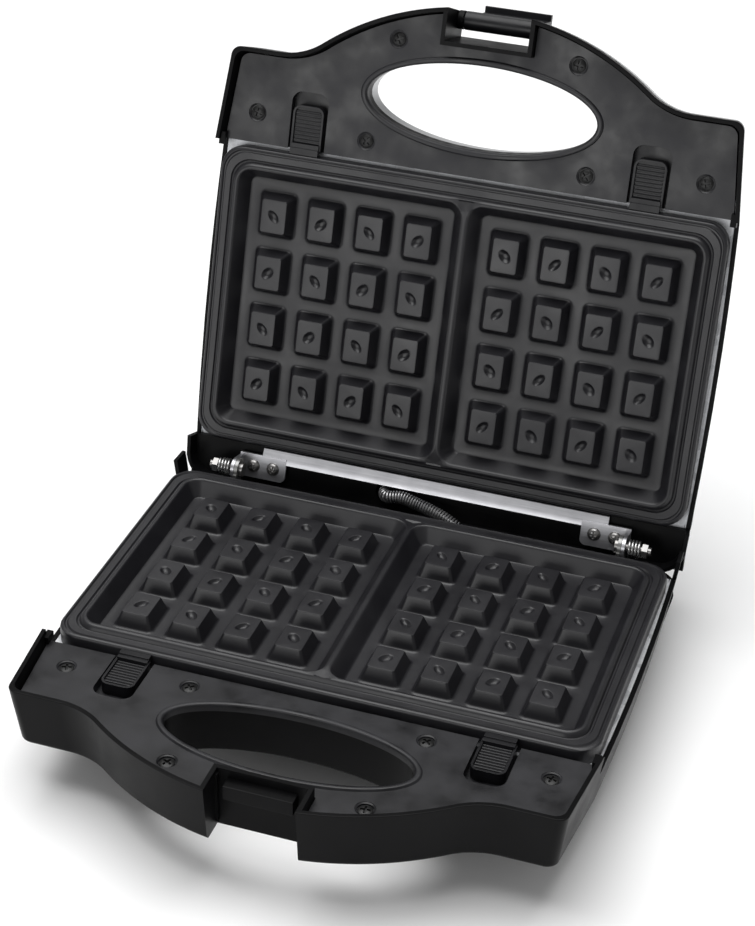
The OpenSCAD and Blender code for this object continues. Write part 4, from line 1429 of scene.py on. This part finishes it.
@dataclass
class ReleaseButton:
    """A sliding plate release with a ribbed thumb pad and a tongue over the plate's edge."""

    half: Half
    side: int
    top: float = S.cover_drop - 1.2
    corner: float = 3.4
    ribs: int = 9
    rib_pitch: float = 1.65
    rib_first: float = 6.6
    body_t: float = 3.9
    tongue_top: float = 2.6
    tongue_under: float = 4.6
    post_hw: float = 3.2
    post_rear: float = 6.3
    post_t: float = 3.0
    post_l: float = 12.2

    @property
    def name(self) -> str:
        """The button's body and node."""
        return f"{self.half.value}_button_{'left' if self.side < 0 else 'right'}"

    def pad(self, shrink: float, top: float, bottom: float) -> Solid:
        """The thumb pad's outline, shrunk evenly, between two depths.

        Args:
            shrink: how far it is shrunk.
            top, bottom: the depths.

        Returns:
            The pad.
        """
        w = S.button_w / 2 - shrink
        rear = S.button_rear + 3.6 + shrink
        front = S.button_rear + S.button_l - shrink
        r = max(self.corner - shrink, 0.6)
        shape = [(-w, -rear), (w, -rear)]
        shape += arc(w - r, -front + r, r, 0, -90, 8)
        shape += arc(-w + r, -front + r, r, -90, -180, 8)
        return Solid.prism(list(reversed(shape)), top, bottom)

    def build(self) -> Solid:
        """The button.

        Returns:
            The button, in the middle of the half.
        """
        under = S.cover_drop + self.body_t
        body = self.pad(0, self.top, under) - self.pad(1.0, self.top - 1, self.top + 1.0)
        w = S.button_w / 2 - 0.6
        tongue = Solid.block(-w, w, S.plate_front + 0.1, S.cover_rear + 1, self.tongue_top,
                             self.tongue_under)
        riser = Solid.block(-w, w, S.cover_rear + 0.3, S.cover_rear + 3.0, 3.2, under)
        body = body | (tongue | riser)
        first = S.button_rear + self.rib_first
        bar = Solid.lathe([(0, -5.95), (0.42, -5.8), (0.55, -5.5), (0.55, 5.5), (0.42, 5.8), (0, 5.95)], 16)
        rows = [-first - self.rib_pitch * k for k in range(self.ribs)]
        bars = [bar.moved(Matrix.Translation((0, y, -self.top - 1.05)) @ quarter("Y")) for y in rows]
        post_rear = S.cover_rear + self.post_rear
        post = Solid.block(-self.post_hw, self.post_hw, post_rear, post_rear + self.post_t, under - 0.5,
                           S.cover_drop + self.post_l)
        return (body | post).softened(0.3) | Solid.gather(bars)

    def show(self) -> None:
        """Builds the button on its own body."""
        solid = self.build().shifted(self.side * S.button_x)
        show(f"{self.name}_pad", solid, self.half.place(), self.name, BUTTON, self.name)


# ---------------------------------------------------------------- wires, hinge and latch

def helix(r: float, wire: float, turns: float, length: float, per_turn: int = 22) -> list[Point]:
    """The middle line of a wound spring along z.

    Args:
        r: the winding's radius.
        wire: the wire's radius.
        turns: how many turns it has.
        length: its outer length.
        per_turn: points on each turn.

    Returns:
        The points.
    """
    n = int(turns * per_turn)
    rise = length - 2 * wire
    return [(r * math.cos(math.tau * i / per_turn), r * math.sin(math.tau * i / per_turn),
             wire + rise * i / n) for i in range(n + 1)]


@dataclass
class LeadGuard:
    """The wound steel guard on the lead that crosses the hinge."""

    radius: float = 3.0
    wire: float = 0.46
    pitch: float = 1.3
    end: Flat = (22.0, -3.2)

    def lid_point(self, x: float, d: float, o: float) -> Point:
        """A point of the open lid in the base's millimetres."""
        c, s = math.cos(OPEN_ANGLE), math.sin(OPEN_ANGLE)
        return (x, -d * c + (o + HINGE_DROP) * s, d * s + (o + HINGE_DROP) * c - HINGE_DROP)

    def route(self) -> list[Vector]:
        """The lead's smooth middle line, from the lid down into the base.

        Returns:
            Closely spaced points of the line.
        """
        ex, ey = self.end
        knots = [self.lid_point(LEAD_X, -0.6, o) for o in (14, 10, 6)]
        knots += [self.lid_point(-19.5, -1, 2), (-12, 5, -5.6), (-4, 3, -6.2), (4, 1, -7.2),
                  (12, -1.2, -9.2), (18, -2.8, -12.4), (ex - 0.8, ey, -17), (ex, ey, -23), (ex, ey, -31)]
        points = [Vector(k) for k in knots]
        line: list[Vector] = []
        for i in range(len(points) - 1):
            a, b = points[max(i - 1, 0)], points[i]
            c, e = points[i + 1], points[min(i + 2, len(points) - 1)]
            for k in range(12):
                t = k / 12
                line.append(0.5 * (2 * b + (c - a) * t + (2 * a - 5 * b + 4 * c - e) * t * t
                                   + (3 * b - a - 3 * c + e) * t ** 3))
        return line + [points[-1]]

    def build(self) -> Solid:
        """The winding, with the lead's sleeve inside it.

        Returns:
            The guard, in its place.
        """
        line = self.route()
        lengths = [0.0]
        for a, b in zip(line, line[1:]):
            lengths.append(lengths[-1] + (b - a).length)
        per_turn = 14
        steps = int(lengths[-1] / self.pitch * per_turn)
        path: list[Point] = []
        side = Vector()
        k = 0
        for i in range(steps + 1):
            s = lengths[-1] * i / steps
            while k < len(line) - 2 and lengths[k + 1] < s:
                k += 1
            share = (s - lengths[k]) / (lengths[k + 1] - lengths[k])
            along = (line[k + 1] - line[k]).normalized()
            side = (side - along * side.dot(along) if i else along.orthogonal()).normalized()
            up = along.cross(side)
            turn = math.tau * i / per_turn
            spot = line[k].lerp(line[k + 1], share)
            out = math.cos(turn) * side + math.sin(turn) * up
            path.append(tuple(spot + (self.radius - self.wire) * out))
        return Solid.gather([Solid.tube(path, self.wire, 6), Solid.tube([tuple(p) for p in line], 1.7, 10)])

    def show(self) -> None:
        """Builds the guard on the base."""
        show("lead_guard", self.build(), Half.BASE.place(), "base", GUARD, "lead_conduit")


@dataclass
class HingeWork:
    """The bright bar, its screws, and the sprung pins that the lid turns on."""

    ear_x: float = 89.0
    steel: float = 1.5
    bar_face: float = 3.0
    pin_r: float = 2.0
    ear_r: float = 5.0
    tab_l: float = 20.5
    tab_r: float = 2.6

    def bar(self) -> Solid:
        """The pressed bar with its tabs and ears.

        Returns:
            The bar, in the lid's place.
        """
        half_w = self.ear_x - 9
        profile = [(-3.5, -3.0), (-5.2, -3.25), (-9.2, -4.4), (-9.5, -4.9), (-9.2, -5.7), (-3.5, -4.5)]
        parts = Solid.loft([[(x, y, z) for y, z in profile] for x in (-half_w, half_w)])
        under = self.bar_face + self.steel
        r, front = self.tab_r, self.ear_r
        outer = self.ear_x + self.steel
        for s in (-1, 1):
            corner = s * (self.ear_x - self.tab_l)
            tab = [(corner + s * r, front)] + [(corner + s * (r - r * math.sin(math.radians(a))),
                                                front - r + r * math.cos(math.radians(a)))
                                               for a in range(15, 91, 15)]
            tab += [(corner, -6.0), (s * outer, -6.0), (s * outer, front)]
            parts = parts | Solid.prism(tab, self.bar_face, under)
            ear = span(s, self.ear_x, outer)
            parts = parts | Solid.block(*ear, -self.ear_r, self.ear_r, -HINGE_DROP, under)
            disc = Solid.rod(self.ear_r, 0, self.steel, 48)
            parts = parts | disc.moved(Matrix.Translation((ear[0], 0, HINGE_DROP)) @ quarter("Y"))
        pin = Solid.rod(self.pin_r + 0.05, -110, 110)
        return (parts - pin.moved(Matrix.Translation((0, 0, HINGE_DROP)) @ quarter("Y"))).softened(0.2)

    def bar_screw(self) -> Solid:
        """A bright cross-head screw on a tab.

        Returns:
            The screw, with its head up at the origin.
        """
        head = Solid.lathe([(0, 1.7), (1.2, 1.65), (2.2, 1.3), (2.8, 0.7), (3.0, 0.02), (1.5, 0.0),
                            (1.5, -9), (0, -9)])
        return (head - Solid.cross(1.6, 0.34, -3, -0.7)).softened(0.08, 1, 50)

    def show(self) -> None:
        """Builds the bar, its screws and the springs on the pins."""
        show("hinge_bar_pressing", self.bar(), Half.LID.place(), "lid", BAR, "hinge_bar")
        screw = self.bar_screw()
        screws = []
        for k, (s, x) in enumerate((s, x) for s in (-1, 1) for x in (self.ear_x - 14.5, self.ear_x - 5.2)):
            turn = Matrix.Rotation(math.radians(23 + 31 * k), 4, "Z")
            screws.append(screw.moved(Matrix.Translation((s * x, -0.6, -self.bar_face)) @ turn))
        show("hinge_bar_screw_set", Solid.gather(screws), Half.LID.place(), "lid", FIXINGS,
             "hinge_bar_screws")
        for s, side in ((-1, "left"), (1, "right")):
            coil = Solid.tube(helix(self.pin_r + 1.4, 0.55, 4, 6.7), 0.55, 12)
            turn = quarter("Y", s)
            spot = Matrix.Translation((s * (self.ear_x + self.steel + 0.15), 0, -HINGE_DROP))
            show(f"hinge_coil_{side}", coil.moved(spot @ turn), Half.BASE.place(), "base", WIRE,
                 f"hinge_spring_{side}")


@dataclass
class ButtonSprings:
    """The return springs behind the release buttons."""

    radius: float = 1.6
    wire: float = 0.3
    turns: float = 5
    slack: float = 0.75
    behind: float = 9.45
    below: float = 9.8

    def show(self) -> None:
        """Builds the four springs, each on the body that holds its fixed end."""
        start = S.cover_rear + self.behind
        depth = S.cover_drop + self.below
        for half in Half:
            for s, side in ((-1, "left"), (1, "right")):
                line = helix(self.radius, self.wire, self.turns, S.button_travel + self.slack)
                spot = Matrix.Translation((s * S.button_x, -start, -depth)) @ quarter("X")
                show(f"{half.value}_return_coil_{side}", Solid.tube(line, self.wire, 8).moved(spot),
                     half.place(), half.value, WIRE, f"{half.value}_button_spring_{side}")


@dataclass
class Clasp:
    """The flip clasp: barrel, blade and hooked lip."""

    d: float = S.handle_front - LATCH_BACK
    depth: float = LATCH_DEPTH
    half_w: float = 15.0
    reach: float = 33.5
    thick: float = 3.0
    lip: float = 2.4
    rise: float = 4.2
    pin_r: float = 1.55
    grip_count: int = 5
    grip_first: float = 14.0
    grip_pitch: float = 3.0
    grip_w: float = 1.3

    def build(self) -> Solid:
        """The clasp, open as it stands.

        Returns:
            The clasp, in the lid's place.
        """
        across = latch_place()
        w = self.half_w
        barrel = Solid.lathe([(0, -w), (3.6, -w), (4.0, 0.4 - w), (4.0, w - 0.4), (3.6, w), (0, w)], 56)
        blade = Solid.block(-w, w, self.d - self.thick / 2, self.d + self.thick / 2, self.depth,
                            self.depth + self.reach)
        hook = Solid.block(-w, w, self.d - self.thick / 2, self.d + self.rise,
                           self.depth + self.reach - self.lip, self.depth + self.reach)
        starts = [self.depth + self.grip_first + self.grip_pitch * k for k in range(self.grip_count)]
        grips = Solid.gather(
            Solid.block(-w + 3, w - 3, self.d - self.thick / 2 - 0.5, self.d, o, o + self.grip_w)
            for o in starts)
        body = (barrel.moved(across) | blade) | (hook | grips)
        pin = Solid.rod(self.pin_r, -20, 20, 32).moved(across)
        return (body - pin).softened(0.35)

    def show(self) -> None:
        """Builds the clasp on its own body."""
        show("latch_clasp_moulding", self.build(), Half.LID.place(), "latch", BUTTON, "latch_clasp")


# ---------------------------------------------------------------- the inner works

DRESSED: list[tuple[str, Finish, float]] = [
    ("base_reflector_tray", TRAY, 0.12), ("lid_reflector_tray", TRAY, 0.12),
    ("base_heating_element", ELEMENT, 0.0), ("lid_heating_element", ELEMENT, 0.0),
    ("base_element_clips", TRAY, 0.15), ("lid_element_clips", TRAY, 0.15),
    ("hinge_brackets", HINGE_STEEL, 0.2), ("hinge_bracket_screws", FIXINGS, 0.3),
    ("hinge_pins", FIXINGS, 0.3), ("hinge_pin_nuts", FIXINGS, 0.2), ("foot_screws", FIXINGS, 0.3),
    ("thermostat", CONTROL, 0.2), ("thermal_fuse", CONTROL, 0.1), ("terminal_block", CERAMIC, 0.4),
    ("supply_leads", SLEEVING, 0.0), ("latch_pin", FIXINGS, 0.2),
]


# ---------------------------------------------------------------- camera, floor and light

@dataclass
class Studio:
    """The floor, the soft lights and the camera."""

    camera_at: Point = (0.23085, -0.75381, 0.59204)
    right: Point = (0.94843, 0.31592, 0.02595)
    up: Point = (-0.18868, 0.49688, 0.84706)
    back: Point = (0.25471, -0.80827, 0.53087)
    lens: float = 88.26
    floor_half: float = 6.0
    floor_white: float = 0.93
    sky: float = 0.30

    def camera(self) -> None:
        """Makes the camera."""
        data = bpy.data.cameras.new("camera")
        data.lens = self.lens
        data.sensor_fit = "AUTO"
        data.sensor_width = 36.0
        data.clip_end = 50
        view = bpy.data.objects.new("camera", data)
        axes = Matrix((self.right, self.up, self.back)).transposed().to_4x4()
        view.matrix_world = Matrix.Translation(self.camera_at) @ axes
        bpy.context.scene.collection.objects.link(view)
        bpy.context.scene.camera = view

    def floor(self) -> None:
        """Makes the pale floor."""
        bm = bmesh.new()
        bmesh.ops.create_grid(bm, x_segments=8, y_segments=8, size=self.floor_half)
        mesh = bpy.data.meshes.new("floor")
        bm.to_mesh(mesh)
        bm.free()
        floor = bpy.data.objects.new("floor", mesh)
        bpy.context.scene.collection.objects.link(floor)
        material = bpy.data.materials.new("floor_paper")
        material.use_nodes = True
        shader = material.node_tree.nodes["Principled BSDF"]
        shader.inputs["Base Color"].default_value = (*[self.floor_white] * 3, 1)
        shader.inputs["Roughness"].default_value = 0.9
        shader.inputs["Specular IOR Level"].default_value = 0.1
        mesh.materials.append(material)

    def light(self, name: str, place: Point, aim: Point, size: float, power: float) -> None:
        """Makes one square soft light.

        Args:
            name: its name.
            place: where it hangs.
            aim: what it points at.
            size: the length of its side.
            power: its power in watts.
        """
        data = bpy.data.lights.new(name, "AREA")
        data.size = size
        data.energy = power
        lamp = bpy.data.objects.new(name, data)
        lamp.location = place
        lamp.rotation_euler = (Vector(aim) - Vector(place)).to_track_quat("-Z", "Y").to_euler()
        bpy.context.scene.collection.objects.link(lamp)

    def show(self) -> None:
        """Sets up the whole studio."""
        self.camera()
        self.floor()
        self.light("overhead", (-0.3, 0.1, 2.2), (0, 0, 0), 2.2, 62)
        self.light("front", (-0.55, -2.1, 0.50), (0, 0, 0.15), 0.9, 10)
        self.light("rear", (-0.5, 2.2, 1.45), (0, 0, 0.05), 0.9, 2.5)
        world = bpy.data.worlds.new("studio")
        world.use_nodes = True
        world.node_tree.nodes["Background"].inputs["Color"].default_value = (1, 1, 1, 1)
        world.node_tree.nodes["Background"].inputs["Strength"].default_value = self.sky
        bpy.context.scene.world = world
        bpy.context.scene.view_settings.view_transform = "Standard"


def main() -> None:
    """Builds every piece in order."""
    Studio().show()
    BaseShell().show()
    LidShell().show()
    WafflePlate(Half.BASE, "lower_plate").show()
    WafflePlate(Half.LID, "upper_plate").show()
    for half in Half:
        HandleCover(half).show()
        for side in (-1, 1):
            ReleaseButton(half, side).show()
    ButtonSprings().show()
    HingeWork().show()
    LeadGuard().show()
    Clasp().show()
    for node, finish, soft in DRESSED:
        dress(node, finish, soft)


if __name__ == "__main__":
    main()
